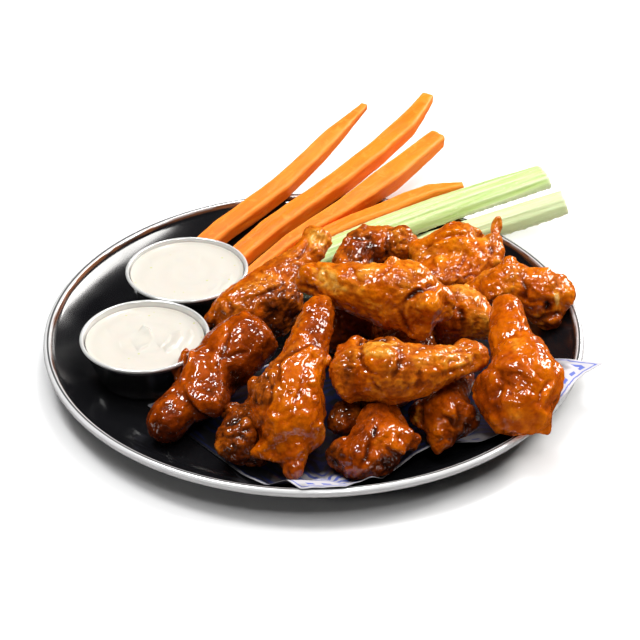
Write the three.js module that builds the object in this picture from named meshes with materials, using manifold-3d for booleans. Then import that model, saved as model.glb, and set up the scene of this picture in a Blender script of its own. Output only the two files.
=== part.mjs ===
// A platter of sauced chicken wings: a round black dish with a bright rolled rim, a sheet of printed
// liner paper, a pile of drumettes and flats, carrot and celery sticks, and two steel cups of dip.
// Millimetres, +Z up. The origin is the middle of the dish's flat underside, and -Y is the side
// that a guest sits at.
import * as THREE from "three";
import { mergeVertices } from "three/addons/utils/BufferGeometryUtils.js";
import Module from "manifold-3d";

const wasm = await Module();
wasm.setup();

// ---- driving dimensions ------------------------------------------------------------------------

const GAP = 0.3; // between pieces that touch
const CUTTER_DEPTH = 30; // how far a cutter reaches below the surface it stands for
const TAU = 2 * Math.PI;

const DISH = {
  rimRadius: 140,
  beadRadius: 2.1,
  beadHeight: 16.4, // of the bead's centre
  beadOverlap: 0.4, // how far the wall runs into the bead
  floorRadius: 110,
  thickness: 1.2,
  wallPower: 1.5, // how the wall steepens towards the rim
  wallSteps: 5,
  underOut: 0.72, // how far the outer face stands out from the inner one
  sides: 56,
};

const CUP = {
  height: 25,
  rimRadius: 33.1,
  beadRadius: 1.1,
  mouthRadius: 32, // of the outer face under the bead
  mouthHeight: 23.4,
  heelRadius: 4,
  heelCentre: 20.9, // from the axis
  thickness: 0.8,
  sides: 28,
};

const CUPS = [
  // Swirl is how high the spoon's spiral stands in the dip.
  { name: "front", x: -86, y: -21.5, dipBelowRim: 3.4, swirl: 0.5 },
  { name: "back", x: -68.3, y: 42.8, dipBelowRim: 2.6, swirl: 0.3 },
];

const LINER = {
  thickness: 0.4,
  lift: 0.5, // over the dish
  columns: 20,
  rows: 8,
  // The sheet's corners in plan. The right one stands out past the rim.
  front: [-7.2, -136.5],
  right: [144.8, -42.4],
  left: [-84, -49],
  back: [68, 40],
  // How the near edge leaves its straight line, at a share of its length.
  ripples: [
    { share: 0.13, spread: 0.1, out: 13, up: 0 },
    { share: 0.42, spread: 0.12, out: -2, up: 8.5 },
    { share: 0.66, spread: 0.085, out: 20, up: 0 },
    { share: 0.8, spread: 0.08, out: 10.5, up: 0 },
  ],
  outward: [0.5, -0.86], // square to the near edge
  rippleDepth: 0.16, // share of the sheet that the ripples reach in
  // A dent in the right edge, behind its corner.
  dent: { share: 0.17, spread: 0.09, depth: 10.5, reach: 0.08 },
  tipRise: 0.2, // of the corner that stands out past the rim
};

// A wing is a chain of balls, each [x, y, z, radius], under one skin. Its lumps are knuckles and folds
// of skin, each [x, y, z, and half its size along x, y and z], and a bone may stand out of its meat.
// Squash is its depth over its width.
// Earlier wings keep their shape where later ones lie against them.
const WINGS = [
  {
    name: "wing_top", // lies across the top of the pile
    squash: 0.95, seed: 5,
    balls: [
      [0, -17, 57, 8],
      [11, -22, 56, 10.5],
      [23, -26, 56, 13],
      [36, -28, 54, 16.5],
      [49, -28, 52, 18.5],
      [60, -30, 50, 10.5],
    ],
    lumps: [
      [57, -43, 58, 8.5, 7, 8.5],
      [54, -43, 44, 9, 7, 8.5],
      [-4, -19, 55, 6, 5, 6],
    ],
  },
  {
    name: "wing_middle", // its meat faces the front left and its shank points right
    squash: 0.95, seed: 11,
    balls: [
      [78, -66, 42, 7],
      [68, -70, 42, 8.5],
      [56, -76, 43, 11],
      [43, -78, 42, 14.5],
      [30, -76, 41, 16],
      [18, -74, 40, 10],
    ],
    lumps: [
      [32, -76, 50, 9, 7, 7.5],
      [17, -61, 40, 8, 7.5, 7.5],
      [30, -56, 41, 10.5, 7.5, 6.5],
      [19, -82, 36, 8.5, 7, 8],
    ],
  },
  {
    name: "wing_front_left", // leans down the pile, meat to the front
    squash: 0.95, seed: 23,
    balls: [
      [3, -38, 51, 8],
      [0, -51, 47, 10],
      [-3, -61, 43, 10.5],
      [-6, -70, 39, 12.5],
      [-11, -81, 34, 17],
      [-11, -91, 27, 16.5],
      [-11, -99, 20, 15],
      [-10, -109, 15, 7],
    ],
    lumps: [
      [-24, -82, 32, 9, 7.5, 8.5],
      [-23, -108, 18, 6.5, 4.5, 4],
      [-9, -112, 13, 5, 4.5, 6.5],
      [-22, -93, 26, 8, 7, 7.5],
      [-1, -101, 21, 7.5, 6, 6],
    ],
  },
  {
    name: "wing_right_rim", // its meat rests on the rim
    squash: 0.92, seed: 31,
    balls: [
      [97, -28, 45, 7.5],
      [97, -41, 43, 9.5],
      [98, -54, 41, 11.5],
      [101, -65, 38, 15],
      [100, -78, 34, 19],
      [98, -87, 30, 16.5],
    ],
    lumps: [
      [85, -78, 33, 9, 7.5, 8.5],
      [105, -96, 27, 8.5, 7, 8],
      [90, -95, 27, 8.5, 7, 8.5],
      [84, -84, 28, 8, 7, 8.5],
      [115, -72, 36, 7, 7, 7.5],
    ],
  },
  {
    name: "wing_left", // reaches past the front cup
    squash: 0.95, seed: 47,
    balls: [
      [-71, -78, 13, 10.5],
      [-62, -66, 17, 10.5],
      [-52, -53, 21, 13.5],
      [-43, -40, 24, 16],
      [-36, -32, 27, 16],
    ],
    lumps: [
      [-51, -73, 22, 8.5, 7.5, 7.5],
      [-60, -62, 12, 10, 12, 9.5],
      [-59, -51, 27, 8.5, 6.5, 8.5],
      [-26, -34, 28, 8.5, 7.5, 8.5],
    ],
  },
  {
    name: "wing_back_left", // its bone points up and back
    squash: 0.95, seed: 53,
    balls: [
      [3, 49, 41, 6],
      [-2, 40, 38, 7.5],
      [-9, 32, 34, 9],
      [-18, 23, 29, 12],
      [-29, 12, 24, 14.5],
      [-40, 6, 20, 14],
    ],
    lumps: [
      [5, 45, 40, 5, 4.5, 4.5],
      [0, 52, 42, 5, 4.5, 4.5],
      [-32, 10, 14, 13, 12, 12.5],
      [-19, 8, 17, 11, 11, 11],
    ],
  },
  {
    name: "wing_back_right", // lies on its side at the back
    squash: 0.95, seed: 61,
    bone: { from: [97, 56, 30], to: [101, 73, 34], radius: 3 },
    balls: [
      [59, 64, 24, 7],
      [68, 62, 24, 13],
      [80, 62, 24, 17],
      [90, 55, 26, 13],
      [97, 57, 30, 7],
    ],
    lumps: [
      [88, 40, 22, 9, 8, 9.5],
      [97, 50, 28, 7.5, 6.5, 7],
      [98, 58, 32, 5.5, 5, 6.5],
      [72, 44, 16, 17, 15, 14.5],
      [62, 50, 15, 12, 12, 12],
    ],
  },
  {
    name: "wing_front", // stands on its end at the front
    squash: 0.92, seed: 71,
    balls: [
      [42, -56, 16, 8],
      [38, -69, 23, 8],
      [34, -82, 26, 6],
      [31, -92, 24, 9],
      [29, -104, 18, 14],
      [24, -110, 16, 11],
    ],
    lumps: [
      [14, -105, 13, 9.5, 8, 9],
      [41, -100, 20, 8.5, 7, 7.5],
      [18, -109, 9, 7, 6, 8],
      [38, -90, 22, 6.5, 6, 6.5],
      [32, -110, 14, 8, 7, 7],
    ],
  },
  {
    name: "wing_front_right",
    squash: 0.95, seed: 83,
    balls: [
      [73, -42, 14, 8],
      [70, -56, 19, 8.5],
      [67, -73, 24, 7.5],
      [65, -80, 21, 11.5],
      [64, -84, 18, 12.5],
      [61, -93, 15, 7],
    ],
    lumps: [
      [53, -80, 18, 8, 6.5, 7.5],
      [73, -83, 17, 8, 7, 8],
      [69, -68, 23, 7, 6, 8],
    ],
  },
  {
    name: "wing_right", // lies against the right wall of the dish
    squash: 0.95, seed: 97,
    balls: [
      [88, 27, 19, 8.5],
      [102, 24, 30, 8.5],
      [111, 21, 27, 11.5],
      [121, 19, 24, 14],
      [129, 20, 23, 9.5],
    ],
    lumps: [
      [103, 33, 31, 6, 5.5, 6.5],
      [124, 11, 16, 9, 8, 10],
      [131, 25, 25, 6.5, 6, 6.5],
      [96, 15, 28, 7, 6.5, 7],
    ],
  },
  {
    name: "wing_under_top", // its rounded end shows beside the top wing
    squash: 0.95, seed: 101,
    balls: [
      [63, -1, 30, 10.5],
      [70, -6, 30, 13.5],
      [76, -11, 31, 15],
    ],
    lumps: [
      [83, -19, 30, 7.5, 6.5, 9.5],
      [72, -6, 17, 13, 12, 14.5],
      [93, -23, 33, 10, 9, 10],
    ],
  },
  {
    name: "wing_back", // small and dark, in front of the celery
    squash: 0.95, seed: 113,
    balls: [
      [13, 28, 13, 8],
      [18, 47, 17, 9.5],
      [26, 73, 22, 10],
      [39, 76, 21, 10],
      [50, 74, 21, 9],
    ],
    lumps: [
      [24, 84, 23, 6, 5.5, 6],
      [31, 75, 13, 10, 8.5, 11.5],
      [35, 72, 19, 8.5, 7.5, 9],
      [45, 83, 22, 7.5, 5.5, 5.5],
    ],
  },
  {
    name: "wing_low_left", // in the shade beside the front left wing
    squash: 0.95, seed: 127,
    balls: [
      [-20, -50, 11, 8],
      [-24, -64, 14, 8],
      [-29, -76, 17, 6.5],
      [-33, -85, 16, 10],
      [-35, -96, 15, 12],
    ],
    lumps: [
      [-41, -94, 14, 6.5, 6, 7],
      [-27, -99, 10, 8, 7, 8.5],
      [-39, -78, 17, 6.5, 6, 6.5],
    ],
  },
  {
    name: "wing_low_middle", // seen in the gap between the front wings
    squash: 0.95, seed: 131,
    balls: [
      [48, -30, 19, 16.5],
      [42, -45, 18, 14],
      [33, -59, 16, 9],
      [26, -70, 17, 6.5],
      [18, -80, 17, 8.5],
      [13, -86, 17, 6],
    ],
    lumps: [],
  },
  {
    name: "wing_heart", // holds the top wing up
    squash: 1, seed: 137,
    balls: [
      [58, 14, 17, 11],
      [40, 4, 19, 15],
      [20, -6, 21, 17.5],
      [10, -12, 22, 13],
    ],
    lumps: [
      [45, 22, 14, 15, 14, 12.5],
      [16, 8, 15, 15, 13, 13.5],
      [19, -15, 34, 13, 10, 11],
    ],
  },
];

const WING_SIDES = 13;
const END_LEANS = [0.5, 1.05, Math.PI / 2]; // of the rays of the rings that close a wing's end
const SWELLINGS = { count: 9, length: [0.07, 0.15], reach: [0.5, 1], height: [-0.8, 1.6] };

// Sticks lie on the dish's floor at their first point and lean over its rim. The last number of each
// point is how thick the stick is there.
const CARROTS = [
  {
    name: "carrot_left", width: 12, depth: 10.5, roll: 0.15,
    spine: [
      [-70, 84, 6.5, 0.9],
      [-52, 104, 13.5, 1],
      [-19.5, 134, 24, 1],
      [12, 178, 35, 0.84],
      [31.5, 206.5, 41.5, 0.4],
    ],
  },
  {
    name: "carrot_middle", width: 12.5, depth: 11, roll: 0.1,
    spine: [
      [-52, 68, 6.5, 0.9],
      [-25, 100, 15.5, 1],
      [15.5, 139, 25.5, 1],
      [55.5, 189, 35, 0.95],
      [71, 221, 39.5, 0.6],
    ],
  },
  {
    name: "carrot_right", width: 13, depth: 11.5, roll: 0.15,
    spine: [
      [-39, 65, 5, 0.5],
      [-13, 89, 15, 0.62],
      [18, 115, 21, 0.82],
      [44, 141, 26.5, 1.05],
      [75, 179, 33, 0.8],
    ],
  },
  {
    name: "carrot_low", width: 10.5, depth: 9, roll: 0.1,
    spine: [
      [-28, 60, 4.5, 0.55],
      [6.5, 94.5, 15.5, 0.85],
      [41, 112, 21, 0.95],
      [68, 126.5, 25, 0.9],
      [87, 129.5, 28, 0.4],
    ],
  },
];

const CARROT_CORNER = 1.3; // how much is cut off a carrot stick's corners

const CELERY = [
  {
    name: "celery_front", width: 22, depth: 9, wall: 4.5, roll: 0.1,
    spine: [[-28, 66, 2.8, 0.85], [17.5, 87, 10.5, 1], [72, 112, 19.5, 1], [134.5, 137, 27.5, 0.92]],
  },
  {
    name: "celery_back", width: 18, depth: 8, wall: 4, roll: 0.3,
    spine: [[54, 92, 5, 1], [80, 94.5, 12.5, 1], [122, 98.5, 25.5, 1], [142.5, 100.5, 32, 0.95]],
  },
];

const CELERY_RIBS = 6; // along the back of a celery stick
const RIB_HEIGHT = 0.7;
const TROUGH_DROP = 0.6; // of the trough's edges below its middle line

// ---- shared shapes -----------------------------------------------------------------------------

// The closed body of a geometry, as a manifold-3d solid.
function solidOf(geometry) {
  const bare = geometry.clone();
  bare.deleteAttribute("normal");
  bare.deleteAttribute("uv");
  const merged = mergeVertices(bare, 1e-4);
  return new wasm.Manifold(
    new wasm.Mesh({
      numProp: 3,
      vertProperties: new Float32Array(merged.attributes.position.array),
      triVerts: new Uint32Array(merged.index.array),
    }),
  );
}

// The geometry of a solid. Scraps that a cut left loose are dropped.
function geometryOf(solid) {
  const bodies = solid.decompose();
  bodies.sort((a, b) => b.volume() - a.volume());
  const mesh = bodies[0].getMesh();
  const points = new Float32Array(mesh.numVert * 3);
  for (let i = 0; i < mesh.numVert; i++) {
    points.set(mesh.vertProperties.subarray(i * mesh.numProp, i * mesh.numProp + 3), i * 3);
  }
  const geometry = new THREE.BufferGeometry();
  geometry.setAttribute("position", new THREE.BufferAttribute(points, 3));
  geometry.setIndex(new THREE.BufferAttribute(new Uint32Array(mesh.triVerts), 1));
  geometry.computeVertexNormals();
  return geometry;
}

// A small seeded random number generator, so that every build gives the same shapes.
function seeded(seed) {
  let state = seed >>> 0;
  return () => {
    state = (state + 0x6d2b79f5) >>> 0;
    let t = Math.imul(state ^ (state >>> 15), 1 | state);
    t = (t + Math.imul(t ^ (t >>> 7), 61 | t)) ^ t;
    return ((t ^ (t >>> 14)) >>> 0) / 4294967296;
  };
}

// A closed geometry from a list of points and a list of triangles.
function meshFrom(points, faces) {
  const geometry = new THREE.BufferGeometry();
  geometry.setAttribute("position", new THREE.Float32BufferAttribute(points.flatMap((p) => p.toArray()), 3));
  geometry.setIndex(faces.flat());
  return geometry;
}

// A body that turns a profile of [radius, height] points round a vertical axis.
function turned(profile, sides) {
  const lathe = new THREE.LatheGeometry(profile.map(([r, z]) => new THREE.Vector2(r, z)), sides);
  return lathe.rotateX(Math.PI / 2);
}

// Points on a circular arc in a turned profile.
function arc(cx, cz, radius, from, to, steps) {
  return Array.from({ length: steps + 1 }, (_, i) => {
    const a = from + ((to - from) * i) / steps;
    return [cx + radius * Math.cos(a), cz + radius * Math.sin(a)];
  });
}

// The two directions across a run: level and to its side, and up. Both are turned by the roll.
function across(along, roll) {
  const side = new THREE.Vector3().crossVectors(along, new THREE.Vector3(0, 0, 1)).normalize();
  side.applyAxisAngle(along, roll);
  return { side, lift: new THREE.Vector3().crossVectors(side, along) };
}

// Joins equal rings of points into a skin, from the point that the first ring starts with. Rings run
// anticlockwise seen from the start.
function skin(first, rings, sides, faces) {
  for (let i = 0; i < rings - 1; i++) {
    for (let k = 0; k < sides; k++) {
      const a = first + i * sides + k;
      const b = first + i * sides + ((k + 1) % sides);
      faces.push([a, b + sides, b], [a, a + sides, b + sides]);
    }
  }
}

const vector = ([x, y, z]) => new THREE.Vector3(x, y, z);

// ---- dish --------------------------------------------------------------------------------------

const WALL_TOP_RADIUS = DISH.rimRadius - 2 * DISH.beadRadius + DISH.beadOverlap;

// Height of the dish's inner face at a distance from its axis.
function dishFace(radius) {
  const share = THREE.MathUtils.clamp(
    (radius - DISH.floorRadius) / (WALL_TOP_RADIUS - DISH.floorRadius), 0, 1);
  return DISH.thickness + (DISH.beadHeight - DISH.thickness) * share ** DISH.wallPower;
}

// The wall in steps from the floor's edge to just under the bead, moved out and up.
function wallProfile(out, up) {
  return Array.from({ length: DISH.wallSteps }, (_, i) => {
    const radius = DISH.floorRadius + ((WALL_TOP_RADIUS - DISH.floorRadius) * i) / DISH.wallSteps;
    return [radius + out, dishFace(radius) + up];
  });
}

// The bead from its inner foot over the top and down its outer side, grown by a clearance.
function beadArc(grow, to) {
  const centre = DISH.rimRadius - DISH.beadRadius;
  return arc(centre, DISH.beadHeight, DISH.beadRadius + grow, 0.92 * Math.PI, to, 6);
}

function dish() {
  const outside = wallProfile(DISH.underOut, -DISH.thickness);
  const bead = beadArc(0, -0.72 * Math.PI).reverse();
  const inside = wallProfile(0, 0).reverse();
  return turned([[0, 0], ...outside, ...bead, ...inside, [0, DISH.thickness]], DISH.sides);
}

// What no food may enter: the dish and all below its inner face.
function dishKeepOut() {
  const reach = DISH.rimRadius + GAP;
  const bead = beadArc(GAP, 0).reverse();
  const inside = wallProfile(0, GAP).reverse();
  return turned(
    [[0, -CUTTER_DEPTH], [reach, -CUTTER_DEPTH], ...bead, ...inside, [0, DISH.thickness + GAP]],
    DISH.sides,
  );
}

// ---- cups of dip -------------------------------------------------------------------------------

// The steel cup's wall from its base to its mouth: the outer face, or a face inset from it.
function cupWall(inset) {
  const heel = arc(CUP.heelCentre, CUP.heelRadius, CUP.heelRadius - inset, -Math.PI / 2, -0.11 * Math.PI, 3);
  return [...heel, [CUP.mouthRadius - inset, CUP.mouthHeight]];
}

function cup() {
  const centre = [CUP.rimRadius - CUP.beadRadius, CUP.height - CUP.beadRadius];
  const bead = arc(...centre, CUP.beadRadius, -0.55 * Math.PI, 0.95 * Math.PI, 6);
  const inside = cupWall(CUP.thickness).reverse();
  return turned([[0, 0], ...cupWall(0), ...bead, ...inside, [0, CUP.thickness]], CUP.sides);
}

// What no food may enter: the cup, all that is in it, and what is just below it.
function cupKeepOut() {
  const foot = [CUP.heelCentre + CUP.heelRadius + 1, -1];
  const rim = [CUP.rimRadius + 2 * GAP, CUP.height + GAP];
  const underRim = [rim[0], CUP.height - 3];
  return turned([[0, foot[1]], foot, underRim, rim, [0, rim[1]]], CUP.sides);
}

const SPIRAL_PITCH = 18; // between the turns of the spoon's spiral

// Dip fills the cup to its level, with the spoon's spiral left in the top.
function dip({ dipBelowRim, swirl }) {
  const level = CUP.height - dipBelowRim;
  const clear = CUP.thickness + GAP;
  const wall = cupWall(clear);
  const foot = wall.slice(0, -1);
  const [heelR, heelZ] = foot[foot.length - 1];
  const [mouthR, mouthZ] = wall[wall.length - 1];
  const edge = heelR + ((mouthR - heelR) * (level - heelZ)) / (mouthZ - heelZ);
  const rings = [1, 0.82, 0.62, 0.4, 0.2].map((share) => [edge * share, level]);
  const geometry = turned([[0, clear], ...foot, ...rings, [0, level]], CUP.sides);
  const points = geometry.attributes.position;
  for (let i = 0; i < points.count; i++) {
    const r = Math.hypot(points.getX(i), points.getY(i));
    const stirred = points.getZ(i) > level - 0.01 && r < 0.9 * edge && r > 0.1 * edge;
    if (stirred) {
      const turn = Math.atan2(points.getY(i), points.getX(i));
      points.setZ(i, level + swirl * Math.sin(TAU * r / SPIRAL_PITCH - turn));
    }
  }
  return geometry;
}

// ---- liner paper -------------------------------------------------------------------------------

// How far the near edge's ripples move a place of the sheet. They die away over the sheet.
function linerRipple(across, up, way) {
  const fade = Math.exp(-((up / LINER.rippleDepth) ** 2));
  return LINER.ripples.reduce((sum, ripple) =>
    sum + ripple[way] * fade * Math.exp(-(((across - ripple.share) / ripple.spread) ** 2)), 0);
}

// How far the right edge is pushed in towards the near one.
function linerDent(across, up) {
  const { share, spread, depth, reach } = LINER.dent;
  return depth * Math.exp(-(((up - share) / spread) ** 2) - ((1 - across) / reach) ** 2);
}

// A place on the sheet: across runs from its front corner to its right one, and up to its left one.
function linerPlan(across, up) {
  const out = linerRipple(across, up, "out");
  const { lerp } = THREE.MathUtils;
  const [x, y] = [0, 1].map((k) => {
    const near = lerp(LINER.front[k], LINER.right[k], across);
    const far = lerp(LINER.left[k], LINER.back[k], across);
    return lerp(near, far, up) + LINER.outward[k] * out;
  });
  return [x, y - linerDent(across, up)];
}

// Height of the sheet's lower face. It follows the dish, rides over the rim and ripples at its edge.
function linerHeight(across, up) {
  const [x, y] = linerPlan(across, up);
  const radius = Math.hypot(x, y);
  const beadTop = DISH.beadHeight + DISH.beadRadius;
  const over = THREE.MathUtils.smoothstep(radius, DISH.floorRadius + 11, WALL_TOP_RADIUS - 2);
  const rest = THREE.MathUtils.lerp(dishFace(radius), beadTop + GAP, over);
  const tip = Math.max(0, radius - DISH.rimRadius) * LINER.tipRise;
  return rest + LINER.lift + linerRipple(across, up, "up") + tip;
}

// The grid's lines lie closer together towards the corners, where the sheet crosses the rim.
function linerShare(step, steps) {
  const even = step / steps;
  const crowded = (1 - Math.cos(Math.PI * even)) / 2;
  return (even + crowded) / 2;
}

function linerSheet(lower, upper) {
  const points = [];
  const faces = [];
  const { columns, rows } = LINER;
  const index = (i, j, top) => (top ? (columns + 1) * (rows + 1) : 0) + j * (columns + 1) + i;
  for (const top of [false, true]) {
    for (let j = 0; j <= rows; j++) {
      for (let i = 0; i <= columns; i++) {
        const [x, y] = linerPlan(linerShare(i, columns), linerShare(j, rows));
        const z = linerHeight(linerShare(i, columns), linerShare(j, rows));
        points.push(new THREE.Vector3(x, y, top ? z + upper : lower(z)));
      }
    }
  }
  for (let j = 0; j < rows; j++) {
    for (let i = 0; i < columns; i++) {
      const corners = [[i, j], [i + 1, j], [i + 1, j + 1], [i, j + 1]];
      const square = (top) => corners.map(([u, v]) => index(u, v, top));
      const [a, b, c, d] = square(true);
      const [e, f, g, h] = square(false);
      faces.push([a, b, c], [a, c, d], [e, g, f], [e, h, g]);
    }
  }
  const edge = [];
  for (let i = 0; i < columns; i++) edge.push([i, 0]);
  for (let j = 0; j < rows; j++) edge.push([columns, j]);
  for (let i = columns; i > 0; i--) edge.push([i, rows]);
  for (let j = rows; j > 0; j--) edge.push([0, j]);
  edge.forEach(([i, j], k) => {
    const [i2, j2] = edge[(k + 1) % edge.length];
    const [a, b] = [index(i, j, false), index(i2, j2, false)];
    const [c, d] = [index(i2, j2, true), index(i, j, true)];
    faces.push([a, b, c], [a, c, d]);
  });
  return meshFrom(points, faces);
}

const liner = () => linerSheet((z) => z, LINER.thickness);
const linerKeepOut = () => linerSheet(() => -CUTTER_DEPTH, LINER.thickness + GAP);

// ---- wings -------------------------------------------------------------------------------------

// How far a ray runs from a point in a wing's body before it is out of the body and its lumps.
function reachAlong(origin, direction, radius, lumps) {
  return lumps.reduce((far, [x, y, z, ...halfSizes]) => {
    const size = vector(halfSizes);
    const start = origin.clone().sub(vector([x, y, z])).divide(size);
    const step = direction.clone().divide(size);
    const [a, b, c] = [step.dot(step), start.dot(step), start.dot(start) - 1];
    const inside = b * b - a * c;
    return inside > 0 ? Math.max(far, (Math.sqrt(inside) - b) / a) : far;
  }, radius);
}

// The rings of a wing's skin: through each ball, halfway between balls, and round both ends. The
// tilt is how far a ring's rays lean from square across the chain, as they do round an end.
function wingRings(balls) {
  const spine = new THREE.CatmullRomCurve3(balls.map(vector));
  const girth = new THREE.SplineCurve(balls.map((ball, i) => new THREE.Vector2(i, ball[3])));
  const steps = 2 * (balls.length - 1);
  const rings = Array.from({ length: steps + 1 }, (_, i) => ({
    centre: spine.getPoint(i / steps),
    along: spine.getTangent(i / steps),
    radius: girth.getPoint(i / steps).y,
    tilt: 0,
  }));
  const leaning = (ring, tilt) => ({ ...ring, tilt });
  return [
    ...END_LEANS.map((lean) => leaning(rings[0], -lean)).reverse(),
    ...rings,
    ...END_LEANS.map((lean) => leaning(rings[steps], lean)),
  ];
}

// Low swellings over the meat, drawn from the wing's seed.
function swellings(seed) {
  const random = seeded(seed);
  const between = ([low, high]) => low + (high - low) * random();
  return Array.from({ length: SWELLINGS.count }, () => ({
    at: random(),
    angle: TAU * random(),
    length: between(SWELLINGS.length),
    reach: between(SWELLINGS.reach),
    height: between(SWELLINGS.height),
  }));
}

function swellingAt(list, share, angle) {
  return list.reduce((sum, s) => {
    const turn = Math.atan2(Math.sin(angle - s.angle), Math.cos(angle - s.angle));
    return sum + s.height * Math.exp(-(((share - s.at) / s.length) ** 2) - (turn / s.reach) ** 2);
  }, 0);
}

// The end of a bone that stands out of the meat.
function boneEnd({ from, to, radius }, grow) {
  const way = vector(to).sub(vector(from));
  const rod = new THREE.CapsuleGeometry(radius + grow, way.length(), 3, 8).translate(0, way.length() / 2, 0);
  rod.applyQuaternion(new THREE.Quaternion().setFromUnitVectors(new THREE.Vector3(0, 1, 0), way.normalize()));
  return solidOf(rod.translate(...from));
}

// A wing as one skin, or the same skin grown all over to cut a clearance from its neighbours.
function wing({ balls, lumps, bone, squash, seed }, grow) {
  const rings = wingRings(balls);
  const bumps = swellings(seed);
  const points = [];
  const faces = [];
  rings.forEach(({ centre, along, radius, tilt }, i) => {
    const pole = i === 0 || i === rings.length - 1;
    const { side, lift } = across(along, 0);
    for (let k = 0; k < (pole ? 1 : WING_SIDES); k++) {
      const angle = (TAU * k) / WING_SIDES;
      const ray = new THREE.Vector3()
        .addScaledVector(side, Math.cos(angle) * Math.cos(tilt))
        .addScaledVector(lift, Math.sin(angle) * Math.cos(tilt) * squash)
        .addScaledVector(along, Math.sin(tilt));
      const length = ray.length();
      const reach = reachAlong(centre, ray.normalize(), radius * length, lumps) + grow
        + swellingAt(bumps, i / (rings.length - 1), angle) * Math.cos(tilt);
      points.push(centre.clone().addScaledVector(ray, reach));
    }
  });
  // The first and the last point are the poles.
  skin(1, rings.length - 2, WING_SIDES, faces);
  const last = points.length - 1;
  for (let k = 0; k < WING_SIDES; k++) {
    const next = (k + 1) % WING_SIDES;
    faces.push([0, 1 + k, 1 + next], [last, last - WING_SIDES + next, last - WING_SIDES + k]);
  }
  const body = solidOf(meshFrom(points, faces));
  return bone ? body.add(boneEnd(bone, grow)) : body;
}

// ---- sticks ------------------------------------------------------------------------------------

// A stick with the same outline all along, scaled by the thickness that its spine gives.
function stick(spinePoints, outline, roll) {
  const spine = new THREE.CatmullRomCurve3(spinePoints.map(vector));
  const girth = new THREE.SplineCurve(spinePoints.map((point, i) => new THREE.Vector2(i, point[3])));
  const steps = 2 * (spinePoints.length - 1);
  const points = [];
  const faces = [];
  for (let i = 0; i <= steps; i++) {
    const centre = spine.getPoint(i / steps);
    const size = girth.getPoint(i / steps).y;
    const { side, lift } = across(spine.getTangent(i / steps), roll);
    for (const [a, b] of outline) {
      points.push(centre.clone().addScaledVector(side, a * size).addScaledVector(lift, b * size));
    }
  }
  skin(0, steps + 1, outline.length, faces);
  const cap = THREE.ShapeUtils.triangulateShape(outline.map(([a, b]) => new THREE.Vector2(a, b)), []);
  for (const [a, b, c] of cap) {
    faces.push([a, b, c], [a, c, b].map((v) => v + steps * outline.length));
  }
  return meshFrom(points, faces);
}

// A carrot stick is a slab with cut corners.
function carrot({ spine, width, depth, roll }) {
  const [w, d, cut] = [width / 2, depth / 2, CARROT_CORNER];
  const outline = [
    [w, -d + cut], [w, d - cut], [w - cut, d], [-w + cut, d],
    [-w, d - cut], [-w, -d + cut], [-w + cut, -d], [w - cut, -d],
  ];
  return stick(spine, outline, roll);
}

// A celery stick is a shallow trough, lying with its ribbed back up.
function celery({ spine, width, depth, wall, roll }) {
  const steps = 2 * CELERY_RIBS;
  const outer = Array.from({ length: steps + 1 }, (_, i) => {
    const a = (Math.PI * i) / steps;
    const rib = i % 2 ? RIB_HEIGHT : 0;
    return [(width / 2) * Math.cos(a), (depth - RIB_HEIGHT) * Math.sin(a) + rib];
  });
  const inner = Array.from({ length: 5 }, (_, i) => {
    const a = Math.PI * (0.88 - 0.19 * i);
    return [(width / 2 - 0.8 * wall) * Math.cos(a), (depth - wall) * Math.sin(a) - TROUGH_DROP];
  });
  return stick(spine, [...outer, ...inner], roll);
}

// ---- assembly ----------------------------------------------------------------------------------

const platter = new THREE.Group();

function finish(color, roughness, metalness) {
  return new THREE.MeshStandardMaterial({ color, roughness, metalness });
}

function place(name, geometry, material) {
  const mesh = new THREE.Mesh(geometry, material);
  mesh.name = name;
  platter.add(mesh);
  return mesh;
}

const enamel = finish(0x0d0c0c, 0.15, 0.0);
const steel = finish(0xb9b6b2, 0.22, 1.0);
const ranch = finish(0xf6f2e6, 0.35, 0.0);
const paper = finish(0xd9d6dc, 0.7, 0.0);
const sauce = finish(0xc4500c, 0.2, 0.0);
const carrotFlesh = finish(0xf58220, 0.5, 0.0);
const celeryFlesh = finish(0xb5d98a, 0.45, 0.0);

place("dish", geometryOf(solidOf(dish())), enamel);
place("liner", geometryOf(solidOf(liner())), paper);

const keepOut = [solidOf(dishKeepOut()), solidOf(linerKeepOut())];
for (const spec of CUPS) {
  const stand = DISH.thickness + GAP;
  place("cup_" + spec.name, geometryOf(solidOf(cup())), steel).position.set(spec.x, spec.y, stand);
  place("dip_" + spec.name, geometryOf(solidOf(dip(spec))), ranch).position.set(spec.x, spec.y, stand);
  keepOut.push(solidOf(cupKeepOut().translate(spec.x, spec.y, stand)));
}

// Takes what is in the way out of a solid, and keeps later pieces out of it.
function settle(solid, grown) {
  const free = keepOut.reduce((rest, taken) => rest.subtract(taken), solid);
  keepOut.push(grown);
  return geometryOf(free);
}

for (const spec of WINGS) {
  place(spec.name, settle(wing(spec, 0), wing(spec, GAP)), sauce);
}
for (const spec of CARROTS) {
  const grown = { ...spec, width: spec.width + 2 * GAP, depth: spec.depth + 2 * GAP };
  place(spec.name, settle(solidOf(carrot(spec)), solidOf(carrot(grown))), carrotFlesh);
}
for (const spec of CELERY) {
  const grown = { ...spec, width: spec.width + 2 * GAP, depth: spec.depth + GAP, wall: spec.wall + 2 * GAP };
  place(spec.name, settle(solidOf(celery(spec)), solidOf(celery(grown))), celeryFlesh);
}

export default platter;
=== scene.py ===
"""Looks of a platter of sauced chicken wings with dips, raw sticks and liner paper.

Everything is in metres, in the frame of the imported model: the origin is the middle of the dish's flat
underside, +Z is up, and the guest sits at -Y. Knuckles, folds and browned places of the wings are drawn
where the guest sees them, in the pixels of a 640 pixel square view, and are laid on the skin there.
"""

import logging
import math
from collections.abc import Callable, Sequence
from dataclasses import dataclass
from enum import Enum

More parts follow.
